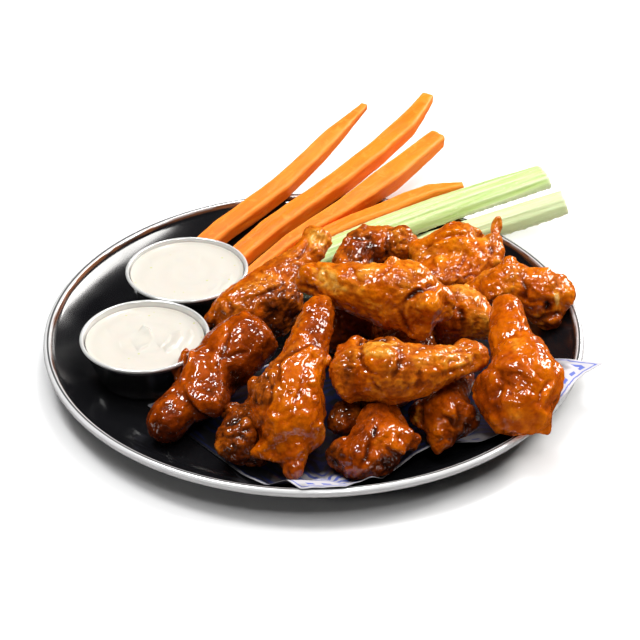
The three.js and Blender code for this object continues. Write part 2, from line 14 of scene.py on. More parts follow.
import bmesh
import bpy
import numpy as np
from mathutils import Matrix, Quaternion, Vector
from mathutils.bvhtree import BVHTree
from mathutils.kdtree import KDTree


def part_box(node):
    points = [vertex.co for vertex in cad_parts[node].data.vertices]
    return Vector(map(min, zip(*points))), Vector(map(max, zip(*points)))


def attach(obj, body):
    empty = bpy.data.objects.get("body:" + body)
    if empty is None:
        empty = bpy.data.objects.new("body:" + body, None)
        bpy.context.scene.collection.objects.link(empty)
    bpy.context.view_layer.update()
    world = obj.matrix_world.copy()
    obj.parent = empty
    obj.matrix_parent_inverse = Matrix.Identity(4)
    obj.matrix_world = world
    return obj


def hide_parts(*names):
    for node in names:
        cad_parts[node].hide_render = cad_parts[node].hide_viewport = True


MM = 0.001
WELD_MM = 0.01  # points nearer than this are joined
ROOT = "root"
LOG = logging.getLogger("platter")

Colour = tuple[float, float, float]
Triple = tuple[float, float, float]  # a place, a way, or a size along each axis
Pair = tuple[float, float]  # the two ends of a range, or a size each way
Spot = tuple[float, float]  # a place in plan, or in the guest's view
Socket = bpy.types.NodeSocket
Value = Socket | float

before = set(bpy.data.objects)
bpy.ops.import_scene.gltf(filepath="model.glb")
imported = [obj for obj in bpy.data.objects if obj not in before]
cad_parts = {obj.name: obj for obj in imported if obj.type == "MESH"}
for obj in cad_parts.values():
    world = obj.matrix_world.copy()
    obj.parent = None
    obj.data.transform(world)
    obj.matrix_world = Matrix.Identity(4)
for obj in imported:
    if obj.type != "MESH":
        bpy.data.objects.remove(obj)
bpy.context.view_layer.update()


# ---- the guest's view ----------------------------------------------------------------------------


@dataclass(frozen=True)
class GuestView:
    """The camera at the guest's eye, and where it sees things."""

    eye: Triple = (0.00336, -0.77412, 0.52923)  # in metres
    tilt: float = math.radians(33.313)
    roll: float = math.radians(-0.322)
    lens_mm: float = 100.0
    sensor_mm: float = 36.0
    side_px: float = 640.0
    px_per_mm: float = 1.915  # at the middle of the pile
    nearest_m: float = 0.01  # that it shows

    def axes(self) -> np.ndarray:
        """The view's own axes.

        Returns:
            Rows that point right, up and forward in the view.
        """
        forward = np.array([0.0, math.cos(self.tilt), -math.sin(self.tilt)])
        level = np.array([1.0, 0.0, 0.0])
        upright = np.array([0.0, math.sin(self.tilt), math.cos(self.tilt)])
        right = math.cos(self.roll) * level + math.sin(self.roll) * upright
        up = math.cos(self.roll) * upright - math.sin(self.roll) * level
        return np.array([right, up, forward])

    def focal_px(self) -> float:
        """The lens's focal length in pixels of the view."""
        return self.lens_mm / self.sensor_mm * self.side_px

    def pixels(self, points: np.ndarray) -> np.ndarray:
        """Where points are seen.

        Args:
            points: Places in metres, one a row.

        Returns:
            Pixel positions, one a row, counted from the view's top left corner.
        """
        right, up, depth = ((points - np.array(self.eye)) @ self.axes().T).T
        half = self.side_px / 2
        focal = self.focal_px()
        return np.stack([half + focal * right / depth, half - focal * up / depth], axis=1)

    def ray(self, spot: Spot) -> Vector:
        """The way from the eye through a spot.

        Args:
            spot: Its pixel.

        Returns:
            The way, one unit deep.
        """
        right, up, forward = self.axes()
        half = self.side_px / 2
        focal = self.focal_px()
        return Vector(forward + right * (spot[0] - half) / focal + up * (half - spot[1]) / focal)

    def facing(self, points: np.ndarray, normals: np.ndarray) -> np.ndarray:
        """How squarely a surface faces the eye.

        Args:
            points: Places on it in metres, one a row.
            normals: The ways it faces there.

        Returns:
            From -1 to 1, one a point.
        """
        to_eye = np.array(self.eye) - points
        to_eye /= np.linalg.norm(to_eye, axis=1, keepdims=True)
        return np.einsum("ij,ij->i", to_eye, normals)

    def build(self) -> None:
        """Makes the camera and gives it to the scene."""
        data = bpy.data.cameras.new("guest_eye")
        data.lens = self.lens_mm
        data.sensor_width = self.sensor_mm
        data.clip_start = self.nearest_m
        camera = bpy.data.objects.new("guest_eye", data)
        bpy.context.scene.collection.objects.link(camera)
        right, up, forward = self.axes()
        turn = Matrix((right, up, -forward)).transposed()
        camera.matrix_world = Matrix.Translation(Vector(self.eye)) @ turn.to_4x4()
        bpy.context.scene.camera = camera


VIEW = GuestView()


# ---- relief --------------------------------------------------------------------------------------


def smoothstep(low: float, high: float, values: np.ndarray) -> np.ndarray:
    """A smooth rise from 0 at low to 1 at high."""
    share = np.clip((values - low) / (high - low), 0.0, 1.0)
    return share * share * (3.0 - 2.0 * share)


class Grit:
    """Smooth seeded noise in space, from about -1 to 1."""

    CELLS: int = 256  # a power of two, after which the noise repeats
    GAIN: float = 1.6  # brings its peaks to about 1
    MEAN: float = 0.55  # of twice its size

    def __init__(self, seed: int) -> None:
        """Draws the noise.

        Args:
            seed: Its number.
        """
        random = np.random.default_rng(seed)
        self.order = random.permutation(self.CELLS)
        ways = random.normal(size=(self.CELLS, 3))
        self.ways = ways / np.linalg.norm(ways, axis=1, keepdims=True)

    def at(self, points: np.ndarray, cell_mm: float) -> np.ndarray:
        """Noise at points.

        Args:
            points: Places in metres, one a row.
            cell_mm: Size of the noise's lumps.

        Returns:
            One value a point.
        """
        scaled = points / (cell_mm * MM)
        corner = np.floor(scaled).astype(int)
        inner = scaled - corner
        ease = inner ** 3 * (inner * (inner * 6.0 - 15.0) + 10.0)
        total = np.zeros(len(points))
        last = self.CELLS - 1
        for step in np.ndindex(2, 2, 2):
            x, y, z = ((corner + step) & last).T
            pick = self.order[(self.order[(self.order[x] + y) & last] + z) & last]
            reach = np.einsum("ij,ij->i", self.ways[pick], inner - step)
            weight = np.prod(np.where(np.array(step) == 1, ease, 1.0 - ease), axis=1)
            total += weight * reach
        return total * self.GAIN

    def scaled(self, points: np.ndarray, most: float, cell_mm: float) -> np.ndarray:
        """Noise at points, from about -most to most."""
        return most * self.at(points, cell_mm)

    def blisters(self, points: np.ndarray, cell_mm: float) -> np.ndarray:
        """Rounded bumps with narrow valleys between them, about 0 on average."""
        return 2.0 * np.abs(self.at(points, cell_mm)) - self.MEAN


@dataclass(frozen=True)
class Track:
    """A line of spots in the guest's view."""

    spots: tuple[Spot, ...]

    def measure(self, seen: np.ndarray) -> tuple[np.ndarray, np.ndarray, np.ndarray]:
        """How seen points lie to the line.

        Args:
            seen: Pixel positions, one a row.

        Returns:
            Distance in pixels, side (1 left of the line's way, -1 right), and share of the length.
        """
        spots = np.array(self.spots, dtype=float)
        if len(spots) == 1:
            gap = np.linalg.norm(seen - spots[0], axis=1)
            return gap, np.ones(len(seen)), np.full(len(seen), 0.5)
        lengths = np.linalg.norm(np.diff(spots, axis=0), axis=1)
        before = np.concatenate([[0.0], np.cumsum(lengths)])
        nearest = np.full(len(seen), np.inf)
        side = np.ones(len(seen))
        share = np.zeros(len(seen))
        for start, way, run, length in zip(spots[:-1], np.diff(spots, axis=0), before, lengths):
            reach = seen - start
            along = np.clip(reach @ way / length ** 2, 0.0, 1.0)
            gap = np.linalg.norm(reach - along[:, None] * way, axis=1)
            turn = np.sign(way[1] * reach[:, 0] - way[0] * reach[:, 1])
            closer = gap < nearest
            nearest = np.where(closer, gap, nearest)
            side = np.where(closer, turn, side)
            share = np.where(closer, (run + along * length) / before[-1], share)
        return nearest, side, share


class Form(Enum):
    """What a stroke leaves in the skin."""

    RIDGE = "ridge"
    CREASE = "crease"
    FLAP = "flap"
    KNOB = "knob"
    DOME = "dome"


LIPS = 0.35  # height of a crease's lips, as a share of its depth
LIPS_REACH = 2.4  # how far they reach, in widths of the crease
FLAP_EDGE = 2.2  # how steeply a flap drops at its edge
FLAP_BACK = 4.0  # how far it runs back from its edge, in widths
FLAP_FOOT = 2.0  # how far its foot runs out, in widths
# the painted shade that a crease or a flap lays on the wing's tone:
SHADE_FADES = 0.25  # the share of a line's length over which its shade sets in
SHADE_FULL_MM = 1.5  # how high a stroke is that has its whole shade
SHADE_MOST = 1.3
SHADE_REACH = 1.3  # how much wider a flap's shade is than the flap, and narrower a crease's
SHADE_EDGE: Pair = (-0.3, 0.1)  # where the shade under a flap sets in, in widths


@dataclass(frozen=True)
class Stroke:
    """One knuckle, fold or crease. A flap is high on the left of its path and drops there."""

    form: Form
    spots: tuple[Spot, ...]
    width_mm: float
    height_mm: float

    def relief(self, seen: np.ndarray) -> np.ndarray:
        """The stroke's relief.

        Args:
            seen: Pixel positions, one a row.

        Returns:
            Height in millimetres that it adds at each.
        """
        gap, side, share = Track(self.spots).measure(seen)
        reach = gap / VIEW.px_per_mm / self.width_mm
        taper = np.sqrt(np.clip(4.0 * share * (1.0 - share), 0.0, 1.0))
        if self.form is Form.RIDGE:
            return self.height_mm * taper * np.exp(-reach ** 2)
        if self.form is Form.CREASE:
            lips = LIPS * np.exp(-(reach / LIPS_REACH) ** 2)
            return self.height_mm * taper * (lips - (1.0 + LIPS) * np.exp(-reach ** 2))
        if self.form is Form.FLAP:
            signed = reach * side
            rise = 0.5 + 0.5 * np.tanh(FLAP_EDGE * signed)
            back = np.exp(-(np.maximum(signed, 0.0) / FLAP_BACK) ** 2)
            foot = np.exp(-(np.minimum(signed, 0.0) / FLAP_FOOT) ** 2)
            return self.height_mm * taper * rise * back * foot
        inside = np.clip(1.0 - reach ** 2, 0.0, 1.0)
        return self.height_mm * (inside if self.form is Form.KNOB else inside ** 2)

    def shade(self, seen: np.ndarray) -> np.ndarray:
        """How much painted shade the stroke lays on the skin, down in a crease or under a flap.

        Args:
            seen: Pixel positions, one a row.

        Returns:
            From 0 for none, one a position.
        """
        if self.form not in (Form.CREASE, Form.FLAP):
            return np.zeros(len(seen))
        gap, side, share = Track(self.spots).measure(seen)
        reach = gap / VIEW.px_per_mm / self.width_mm
        ends = smoothstep(0.0, SHADE_FADES, share) * (1.0 - smoothstep(1.0 - SHADE_FADES, 1.0, share))
        depth = min(self.height_mm / SHADE_FULL_MM, SHADE_MOST)
        if self.form is Form.CREASE:
            return depth * ends * np.exp(-(SHADE_REACH * reach) ** 2)
        under = -reach * side
        fall = np.exp(-(np.maximum(under, 0.0) / SHADE_REACH) ** 2)
        return depth * ends * smoothstep(*SHADE_EDGE, under) * fall


def ridge(width_mm: float, height_mm: float, *spots: Spot) -> Stroke:
    """A raised line."""
    return Stroke(Form.RIDGE, spots, width_mm, height_mm)


def crease(width_mm: float, height_mm: float, *spots: Spot) -> Stroke:
    """A sunken line with raised lips."""
    return Stroke(Form.CREASE, spots, width_mm, height_mm)


def flap(width_mm: float, height_mm: float, *spots: Spot) -> Stroke:
    """An edge of skin that is high on the left of its way."""
    return Stroke(Form.FLAP, spots, width_mm, height_mm)


def knob(width_mm: float, height_mm: float, *spots: Spot) -> Stroke:
    """A knuckle with a sharp foot."""
    return Stroke(Form.KNOB, spots, width_mm, height_mm)


def dome(width_mm: float, height_mm: float, *spots: Spot) -> Stroke:
    """A soft swelling."""
    return Stroke(Form.DOME, spots, width_mm, height_mm)


@dataclass(frozen=True)
class Nub:
    """A lobe that stands out of a wing where the guest sees it."""

    spot: Spot
    half_sizes_mm: Triple  # across, down and deep in the view
    turn: float = 0.0  # degrees, clockwise in the view
    sink_mm: float = 2.0  # how far its middle lies behind the skin

    def add_to(self, work: bmesh.types.BMesh) -> None:
        """Adds the lobe to a wing.

        Args:
            work: The wing's mesh.
        """
        eye = Vector(VIEW.eye)
        way = VIEW.ray(self.spot)
        hit = BVHTree.FromBMesh(work).ray_cast(eye, way)[0]
        if hit is None:
            points = np.array([vert.co for vert in work.verts])
            gaps = np.linalg.norm(VIEW.pixels(points) - np.array(self.spot), axis=1)
            depth = float((points[np.argmin(gaps)] - np.array(VIEW.eye)) @ VIEW.axes()[2])
            hit = eye + way * depth
        right, up, forward = (Vector(axis) for axis in VIEW.axes())
        turn = Matrix.Rotation(math.radians(self.turn), 3, forward)
        columns = [turn @ right, turn @ up, forward]
        scaled = Matrix([axis * size * MM for axis, size in zip(columns, self.half_sizes_mm)]).transposed()
        place = Matrix.Translation(hit + way.normalized() * self.sink_mm * MM) @ scaled.to_4x4()
        bmesh.ops.create_icosphere(work, subdivisions=3, radius=1.0, matrix=place)


PATCH_EDGE: Pair = (0.45, 1.25)  # where a patch starts to fade and where it is gone, in radii
PATCH_STRAY = 0.35  # how far its edge strays, in radii


@dataclass(frozen=True)
class Patch:
    """A browned, pale or sauced place, or painted shade or highlight, as an ellipse in the guest's view."""

    centre: Spot
    radii: Pair
    tone: float = 0.0  # how much lighter
    sauce: float = 0.0  # how much thicker the sauce
    turn: float = 0.0  # degrees, clockwise in the view

    def weight(self, seen: np.ndarray, stray: np.ndarray) -> np.ndarray:
        """How much the patch covers.

        Args:
            seen: Pixel positions, one a row.
            stray: Noise that makes its edge uneven.

        Returns:
            From 0 to 1, one a position.
        """
        angle = math.radians(self.turn)
        x, y = (seen - np.array(self.centre)).T
        across = (x * math.cos(angle) + y * math.sin(angle)) / self.radii[0]
        down = (y * math.cos(angle) - x * math.sin(angle)) / self.radii[1]
        return 1.0 - smoothstep(*PATCH_EDGE, np.hypot(across, down) + PATCH_STRAY * stray)


# ---- meshes --------------------------------------------------------------------------------------


def link(name: str, mesh: bpy.types.Mesh) -> bpy.types.Object:
    """Puts a mesh into the scene as a piece.

    Args:
        name: The piece's name.
        mesh: Its mesh.

    Returns:
        The piece.
    """
    mesh.name = name
    piece = bpy.data.objects.new(name, mesh)
    bpy.context.scene.collection.objects.link(piece)
    return piece


def smooth(mesh: bpy.types.Mesh) -> None:
    """Shades all faces smooth."""
    mesh.polygons.foreach_set("use_smooth", [True] * len(mesh.polygons))


def rows_of(items: bpy.types.bpy_prop_collection, name: str) -> np.ndarray:
    """Reads a vector of each item.

    Args:
        items: Points, or their normals.
        name: What the vector is called.

    Returns:
        One vector a row.
    """
    flat = np.empty(len(items) * 3)
    items.foreach_get(name, flat)
    return flat.reshape(-1, 3)


def points_of(mesh: bpy.types.Mesh) -> np.ndarray:
    """The mesh's points in metres, one a row."""
    return rows_of(mesh.vertices, "co")


def normals_of(mesh: bpy.types.Mesh) -> np.ndarray:
    """The points' outward directions, one a row."""
    return rows_of(mesh.vertex_normals, "vector")


def move(mesh: bpy.types.Mesh, points: np.ndarray) -> None:
    """Gives the mesh's points new places."""
    mesh.vertices.foreach_set("co", points.ravel())
    mesh.update()


def paint(mesh: bpy.types.Mesh, name: str, values: np.ndarray) -> None:
    """Keeps a number, or a vector, for each point.

    Args:
        mesh: Where it is kept.
        name: The name that materials read.
        values: One a point.
    """
    if values.ndim == 1:
        layer = mesh.attributes.new(name, "FLOAT", "POINT")
        layer.data.foreach_set("value", values)
    else:
        layer = mesh.attributes.new(name, "FLOAT_VECTOR", "POINT")
        layer.data.foreach_set("vector", values.ravel())


def copy_of(node: str, name: str, nubs: Sequence[Nub] = ()) -> bpy.types.Object:
    """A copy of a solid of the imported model, its triangles joined.

    Args:
        node: The solid's name.
        name: The new piece's name.
        nubs: Lobes to add to it.

    Returns:
        The new piece.
    """
    work = bmesh.new()
    work.from_mesh(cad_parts[node].data)
    bmesh.ops.remove_doubles(work, verts=work.verts, dist=WELD_MM * MM)
    for nub in nubs:
        nub.add_to(work)
    bmesh.ops.recalc_face_normals(work, faces=work.faces)
    mesh = bpy.data.meshes.new(name)
    work.to_mesh(mesh)
    work.free()
    for flat_look in ("custom_normal", "sharp_face", "sharp_edge"):
        if flat_look in mesh.attributes:
            mesh.attributes.remove(mesh.attributes[flat_look])
    return link(name, mesh)


def settled(piece: bpy.types.Object) -> None:
    """Turns modifiers into mesh.

    Args:
        piece: The piece whose modifiers are used up.
    """
    depsgraph = bpy.context.evaluated_depsgraph_get()
    rough = piece.data
    mesh = bpy.data.meshes.new_from_object(piece.evaluated_get(depsgraph))
    piece.modifiers.clear()
    piece.data = mesh
    mesh.name = piece.name
    bpy.data.meshes.remove(rough)
    smooth(mesh)


def fleshed(node: str, name: str, voxel_mm: float, nubs: Sequence[Nub] = ()) -> bpy.types.Object:
    """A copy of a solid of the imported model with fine, even faces.

    Args:
        node: The solid's name.
        name: The new piece's name.
        voxel_mm: How far apart its points are.
        nubs: Lobes to add to it.

    Returns:
        The new piece.
    """
    piece = copy_of(node, name, nubs)
    knit = piece.modifiers.new("knit", "REMESH")
    knit.mode = "VOXEL"
    knit.voxel_size = voxel_mm * MM
    rub = piece.modifiers.new("rub", "SMOOTH")
    rub.factor = 0.5
    rub.iterations = 3
    settled(piece)
    return piece


class Skin:
    """A fine mesh whose points are pushed along their normals."""

    def __init__(self, mesh: bpy.types.Mesh) -> None:
        """Reads the mesh.

        Args:
            mesh: The mesh that is pushed.
        """
        self.mesh = mesh
        flat = np.empty(len(mesh.edges) * 2, dtype=int)
        mesh.edges.foreach_get("vertices", flat)
        self.ends = flat.reshape(-1, 2).T
        self.points = points_of(mesh)
        self.count = np.bincount(self.ends.ravel(), minlength=len(self.points))[:, None]

    def around(self, values: np.ndarray, rounds: int) -> np.ndarray:
        """Averages values with their neighbours'.

        Args:
            values: One a point.
            rounds: How many times over.

        Returns:
            The smoothed values.
        """
        one, other = self.ends
        size = len(self.points)
        flat = values.reshape(size, -1)
        for _ in range(rounds):
            total = [
                np.bincount(one, flat[other, k], size) + np.bincount(other, flat[one, k], size)
                for k in range(flat.shape[1])
            ]
            flat = 0.5 * flat + 0.5 * np.stack(total, axis=1) / self.count
        return flat.reshape(values.shape)

    def relax(self, rounds: int) -> None:
        """Rounds off facets and leaves the form as thick as it was.

        Args:
            rounds: How many times over.
        """
        soft = self.around(self.points, rounds)
        self.points = soft + self.around(self.points - soft, rounds)
        move(self.mesh, self.points)

    def push(self, height_mm: np.ndarray) -> None:
        """Moves each point outwards by its height."""
        self.points = self.points + normals_of(self.mesh) * (height_mm * MM)[:, None]
        move(self.mesh, self.points)

    def stand_out_mm(self, rounds: int) -> np.ndarray:
        """How far each point stands out of the skin round it."""
        rest = self.points - self.around(self.points, rounds)
        return np.einsum("ij,ij->i", rest, normals_of(self.mesh)) / MM


# ---- shader groups -------------------------------------------------------------------------------


class Bench:
    """Adds nodes to one node tree and joins them."""

    def __init__(self, tree: bpy.types.NodeTree) -> None:
        """Takes up a node tree."""
        self.tree = tree

    def node(
        self, kind: str, inputs: dict[str | int, object] | None = None, **settings: object,
    ) -> bpy.types.Node:
        """Adds a node.

        Args:
            kind: The node's type name.
            inputs: Sockets, numbers or colours for its inputs, by name or place.
            settings: Its own settings.

        Returns:
            The node.
        """
        node = self.tree.nodes.new(kind)
        for name, value in settings.items():
            setattr(node, name, value)
        for key, value in (inputs or {}).items():
            self.feed(node.inputs[key], value)
        return node

    def feed(self, socket: Socket, value: object) -> None:
        """Joins a socket to another, or sets its value.

        Args:
            socket: The socket.
            value: The other socket, a number, a vector or a colour.
        """
        if isinstance(value, bpy.types.NodeSocket):
            self.tree.links.new(value, socket)
        elif isinstance(value, tuple) and socket.type == "RGBA":
            socket.default_value = (*value, 1.0)
        else:
            socket.default_value = value

    def place(self) -> Socket:
        """Where a point is, in metres."""
        return self.node("ShaderNodeTexCoord").outputs["Object"]

    def math(self, operation: str, a: Value, b: Value = 0.0, clamp: bool = False) -> Socket:
        """Joins two numbers by an operation."""
        return self.node("ShaderNodeMath", {0: a, 1: b}, operation=operation, use_clamp=clamp).outputs[0]

    def away(self, value: Socket, middle: float) -> Socket:
        """How far a value is from a middle one."""
        return self.math("ABSOLUTE", self.math("SUBTRACT", value, middle))

    def remap(
        self, value: Socket, low: float, high: float, to_low: float = 0.0, to_high: float = 1.0,
    ) -> Socket:
        """Stretches low to high into to_low to to_high, smoothly and without going past them."""
        inputs = {"Value": value, "From Min": low, "From Max": high, "To Min": to_low, "To Max": to_high}
        return self.node("ShaderNodeMapRange", inputs, interpolation_type="SMOOTHSTEP").outputs[0]

    def mix(self, share: Value, a: Socket | Colour, b: Socket | Colour) -> Socket:
        """Mixes two colours.

        Args:
            share: How much of the second shows.
            a: The first.
            b: The second.

        Returns:
            The mixed colour.
        """
        node = self.tree.nodes.new("ShaderNodeMix")
        node.data_type = "RGBA"
        self.feed(node.inputs[0], share)
        self.feed(node.inputs[6], a)
        self.feed(node.inputs[7], b)
        return node.outputs[2]

    def blend(self, share: Value, a: Value, b: Value) -> Socket:
        """Mixes two numbers.

        Args:
            share: How much of the second counts.
            a: The first.
            b: The second.

        Returns:
            The mixed number.
        """
        node = self.tree.nodes.new("ShaderNodeMix")
        self.feed(node.inputs[0], share)
        self.feed(node.inputs[2], a)
        self.feed(node.inputs[3], b)
        return node.outputs[0]

    def ramp(self, share: Socket, stops: Sequence[tuple[float, Colour]]) -> Socket:
        """Picks a colour from a row of stops.

        Args:
            share: Where on the row.
            stops: Places from 0 to 1 and their colours.

        Returns:
            The colour.
        """
        node = self.node("ShaderNodeValToRGB", {"Fac": share})
        while len(node.color_ramp.elements) < len(stops):
            node.color_ramp.elements.new(1.0)
        for element, (place, colour) in zip(node.color_ramp.elements, stops):
            element.position = place
            element.color = (*colour, 1.0)
        return node.outputs["Color"]

    def noise(self, where: Socket, per_metre: Value, detail: float = 2.0, warp: float = 0.0) -> Socket:
        """Noise from 0 to 1."""
        inputs = {"Vector": where, "Scale": per_metre, "Detail": detail, "Distortion": warp}
        return self.node("ShaderNodeTexNoise", inputs).outputs["Fac"]

    def stretched(self, where: Socket, scale: Triple) -> Socket:
        """Coordinates scaled along each axis."""
        return self.node("ShaderNodeMapping", {"Vector": where, "Scale": scale}).outputs[0]

    def attribute(self, name: str) -> bpy.types.Node:
        """Reads what paint() kept."""
        return self.node("ShaderNodeAttribute", attribute_name=name)

    def bump(self, height: Socket, depth_mm: float, normal: Socket | None = None) -> Socket:
        """Turns a height into a normal.

        Args:
            height: From 0 to 1.
            depth_mm: What 1 stands for.
            normal: A normal that it is laid on.

        Returns:
            The normal.
        """
        inputs: dict[str | int, object] = {"Height": height, "Distance": depth_mm * MM, "Strength": 1.0}
        if normal is not None:
            inputs["Normal"] = normal
        return self.node("ShaderNodeBump", inputs).outputs[0]

    def effect(self, tree: bpy.types.NodeTree, **inputs: Value) -> Socket:
        """Adds a shared effect.

        Args:
            tree: The effect's group.
            inputs: This material's values for it.

        Returns:
            What it puts out.
        """
        node = self.tree.nodes.new("ShaderNodeGroup")
        node.node_tree = tree
        for name, value in inputs.items():
            self.feed(node.inputs[name.replace("_", " ").capitalize()], value)
        return node.outputs[0]


class Effects:
    """The effects that several materials share, each built once."""

    FINE_SHARE: float = 0.35  # of the crumb's finer noise
    SPECK_CORE: float = 0.55  # of a speck's radius, where it is full

    def __init__(self) -> None:
        """Builds the groups."""
        self.crumb = self.build_crumb()
        self.specks = self.build_specks()
        self.blotch = self.build_blotch()

    @staticmethod
    def new_group(
        name: str, output: str, **numbers: float,
    ) -> tuple[Bench, bpy.types.Node, bpy.types.Node]:
        """Starts a group.

        Args:
            name: The group's name.
            output: Name of the value that it puts out.
            numbers: Names and usual values of its number inputs. It also has a Vector input.

        Returns:
            The group's bench, its input node and its output node.
        """
        tree = bpy.data.node_groups.new(name, "ShaderNodeTree")
        tree.interface.new_socket("Vector", in_out="INPUT", socket_type="NodeSocketVector")
        for key, value in numbers.items():
            title = key.replace("_", " ").capitalize()
            socket = tree.interface.new_socket(title, in_out="INPUT", socket_type="NodeSocketFloat")
            socket.default_value = value
        tree.interface.new_socket(output, in_out="OUTPUT", socket_type="NodeSocketFloat")
        bench = Bench(tree)
        return bench, bench.node("NodeGroupInput"), bench.node("NodeGroupOutput")

    def build_crumb(self) -> bpy.types.NodeTree:
        """Fine uneven grain: two sizes of noise, the finer half as strong.

        Returns:
            The group.
        """
        bench, given, out = self.new_group("crumb", "Grain", per_metre=800.0, fineness=3.0)
        coarse = bench.noise(given.outputs["Vector"], given.outputs["Per metre"], detail=3.0)
        finer = bench.math("MULTIPLY", given.outputs["Per metre"], given.outputs["Fineness"])
        fine = bench.noise(given.outputs["Vector"], finer)
        bench.feed(out.inputs["Grain"], bench.blend(self.FINE_SHARE, coarse, fine))
        return bench.tree

    def build_specks(self) -> bpy.types.NodeTree:
        """Scattered specks: a mask that is 1 on a share of the cells.

        Returns:
            The group.
        """
        bench, given, out = self.new_group("specks", "Mask", per_metre=300.0, share=0.2, size=0.3)
        inputs = {"Vector": given.outputs["Vector"], "Scale": given.outputs["Per metre"]}
        cells = bench.node("ShaderNodeTexVoronoi", inputs, feature="F1")
        chance = bench.node("ShaderNodeSeparateColor", {0: cells.outputs["Color"]}).outputs[0]
        chosen = bench.math("LESS_THAN", chance, given.outputs["Share"])
        edge = bench.math("DIVIDE", cells.outputs["Distance"], given.outputs["Size"])
        spot = bench.remap(edge, 1.0, self.SPECK_CORE)
        bench.feed(out.inputs["Mask"], bench.math("MULTIPLY", chosen, spot))
        return bench.tree

    def build_blotch(self) -> bpy.types.NodeTree:
        """Soft patches: a mask that is 1 where slow noise is high.

        Returns:
            The group.
        """
        bench, given, out = self.new_group("blotch", "Mask", per_metre=40.0, level=0.5, softness=0.1)
        slow = bench.noise(given.outputs["Vector"], given.outputs["Per metre"], detail=4.0, warp=0.6)
        rise = bench.math("SUBTRACT", slow, given.outputs["Level"])
        share = bench.math("DIVIDE", rise, given.outputs["Softness"])
        bench.feed(out.inputs["Mask"], bench.math("ADD", share, 0.5, clamp=True))
        return bench.tree


EFFECTS = Effects()


# ---- finishes ------------------------------------------------------------------------------------


class Finish:
    """A material that is made the first time it is asked for."""

    title = "finish"

    def material(self) -> bpy.types.Material:
        """Finds or makes the material.

        Returns:
            The finish's material.
        """
        made = bpy.data.materials.get(self.title)
        if made is None:
            made = bpy.data.materials.new(self.title)
            made.use_nodes = True
            made.node_tree.nodes.clear()
            bench = Bench(made.node_tree)
            shader = bench.node("ShaderNodeBsdfPrincipled")
            bench.node("ShaderNodeOutputMaterial", {"Surface": shader.outputs[0]})
            for socket, value in self.sockets(bench).items():
                bench.feed(shader.inputs[socket], value)
        return made

    def sockets(self, bench: Bench) -> dict[str, Value | Colour]:
        """Makes the finish's nodes.

        Args:
            bench: Where they are made.

        Returns:
            What the shader's sockets get.
        """
        raise NotImplementedError

    def dress(self, piece: bpy.types.Object) -> None:
        """Gives a piece this finish and no other."""
        piece.data.materials.clear()
        piece.data.materials.append(self.material())


NOISE_RANGE: Pair = (0.3, 0.7)  # where nearly all of a noise lies


def radius_mm(bench: Bench) -> Socket:
    """Distance from the dish's axis.

    Args:
        bench: Where the nodes are made.

    Returns:
        The distance in millimetres.
    """
    flat = bench.stretched(bench.place(), (1.0, 1.0, 0.0))
    length = bench.node("ShaderNodeVectorMath", {0: flat}, operation="LENGTH").outputs["Value"]
    return bench.math("MULTIPLY", length, 1.0 / MM)


def height_m(bench: Bench) -> Socket:
    """Height over the table in metres."""
    return bench.node("ShaderNodeSeparateXYZ", {"Vector": bench.place()}).outputs["Z"]


@dataclass(frozen=True)
class Enamel(Finish):
    """Black enamel whose rolled rim is bare steel, with a burnt line where the two meet."""

    title = "black_enamel_steel_rim"
    enamel: Colour = (0.006, 0.006, 0.007)
    steel: Colour = (0.95, 0.95, 0.95)
    dull_steel: Colour = (0.7, 0.68, 0.68)
    dull_most: float = 0.75  # how much of the dull steel shows in the drawing lines
    dull_edge: Pair = (0.35, 0.65)  # the part of the noise in which a drawing line sets in
    burnt: Colour = (0.16, 0.06, 0.025)
    dark_ring: Colour = (0.10, 0.10, 0.10)
    metal: float = 0.36  # how metallic the rim is
    fold_mm: float = 136.1  # radius at which the enamel ends
    fold_blur_mm: float = 0.25
    burnt_mm: Pair = (0.9, 0.2)  # how far from the fold it is gone, and full
    dark_ring_mm: float = 137.7  # radius of a dark ring painted round the bead
    dark_ring_fade_mm: Pair = (0.75, 0.25)  # how far from that radius it is gone, and full
    lines_per_mm: float = 0.8  # of the rolled rim's drawing lines
    gloss: Pair = (0.10, 0.19)  # roughness of clean and of smudged enamel
    rim_gloss: Pair = (0.14, 0.22)
    ripples_per_metre: float = 14.0
    ripple_mm: float = 0.25

    def sockets(self, bench: Bench) -> dict[str, Value | Colour]:
        """Makes the finish's nodes.

        Args:
            bench: Where they are made.

        Returns:
            What the shader's sockets get.
        """
        where = bench.place()
        radius = radius_mm(bench)
        bare = bench.remap(radius, self.fold_mm - self.fold_blur_mm, self.fold_mm + self.fold_blur_mm)
        uneven = bench.effect(EFFECTS.blotch, vector=where, per_metre=30.0, level=0.45, softness=0.25)
        rust = bench.math("MULTIPLY", bench.remap(bench.away(radius, self.fold_mm), *self.burnt_mm), uneven)
        height = bench.math("MULTIPLY", height_m(bench), 1.0 / MM)
        across = bench.node("ShaderNodeCombineXYZ", {"X": radius, "Y": height}).outputs[0]
        lines = bench.noise(across, self.lines_per_mm, detail=1.0)
        drawn = bench.remap(lines, *self.dull_edge, 0.0, self.dull_most)
        steel = bench.mix(drawn, self.steel, self.dull_steel)
        # a dark ring painted round the bead
        dark_ring_mask = bench.remap(bench.away(radius, self.dark_ring_mm), *self.dark_ring_fade_mm)
        steel = bench.mix(dark_ring_mask, steel, self.dark_ring)
        smudge = bench.effect(EFFECTS.blotch, vector=where, per_metre=22.0, level=0.55, softness=0.5)
        smudged = bench.remap(smudge, 0.0, 1.0, *self.gloss)
        worn = bench.remap(lines, *NOISE_RANGE, *self.rim_gloss)
        return {
            "Base Color": bench.mix(rust, bench.mix(bare, self.enamel, steel), self.burnt),
            "Metallic": bench.math("MULTIPLY", bare, self.metal),
            "Roughness": bench.blend(bare, smudged, worn),
            "Specular IOR Level": 1.0,
            "Normal": bench.bump(bench.noise(where, self.ripples_per_metre), self.ripple_mm),
        }


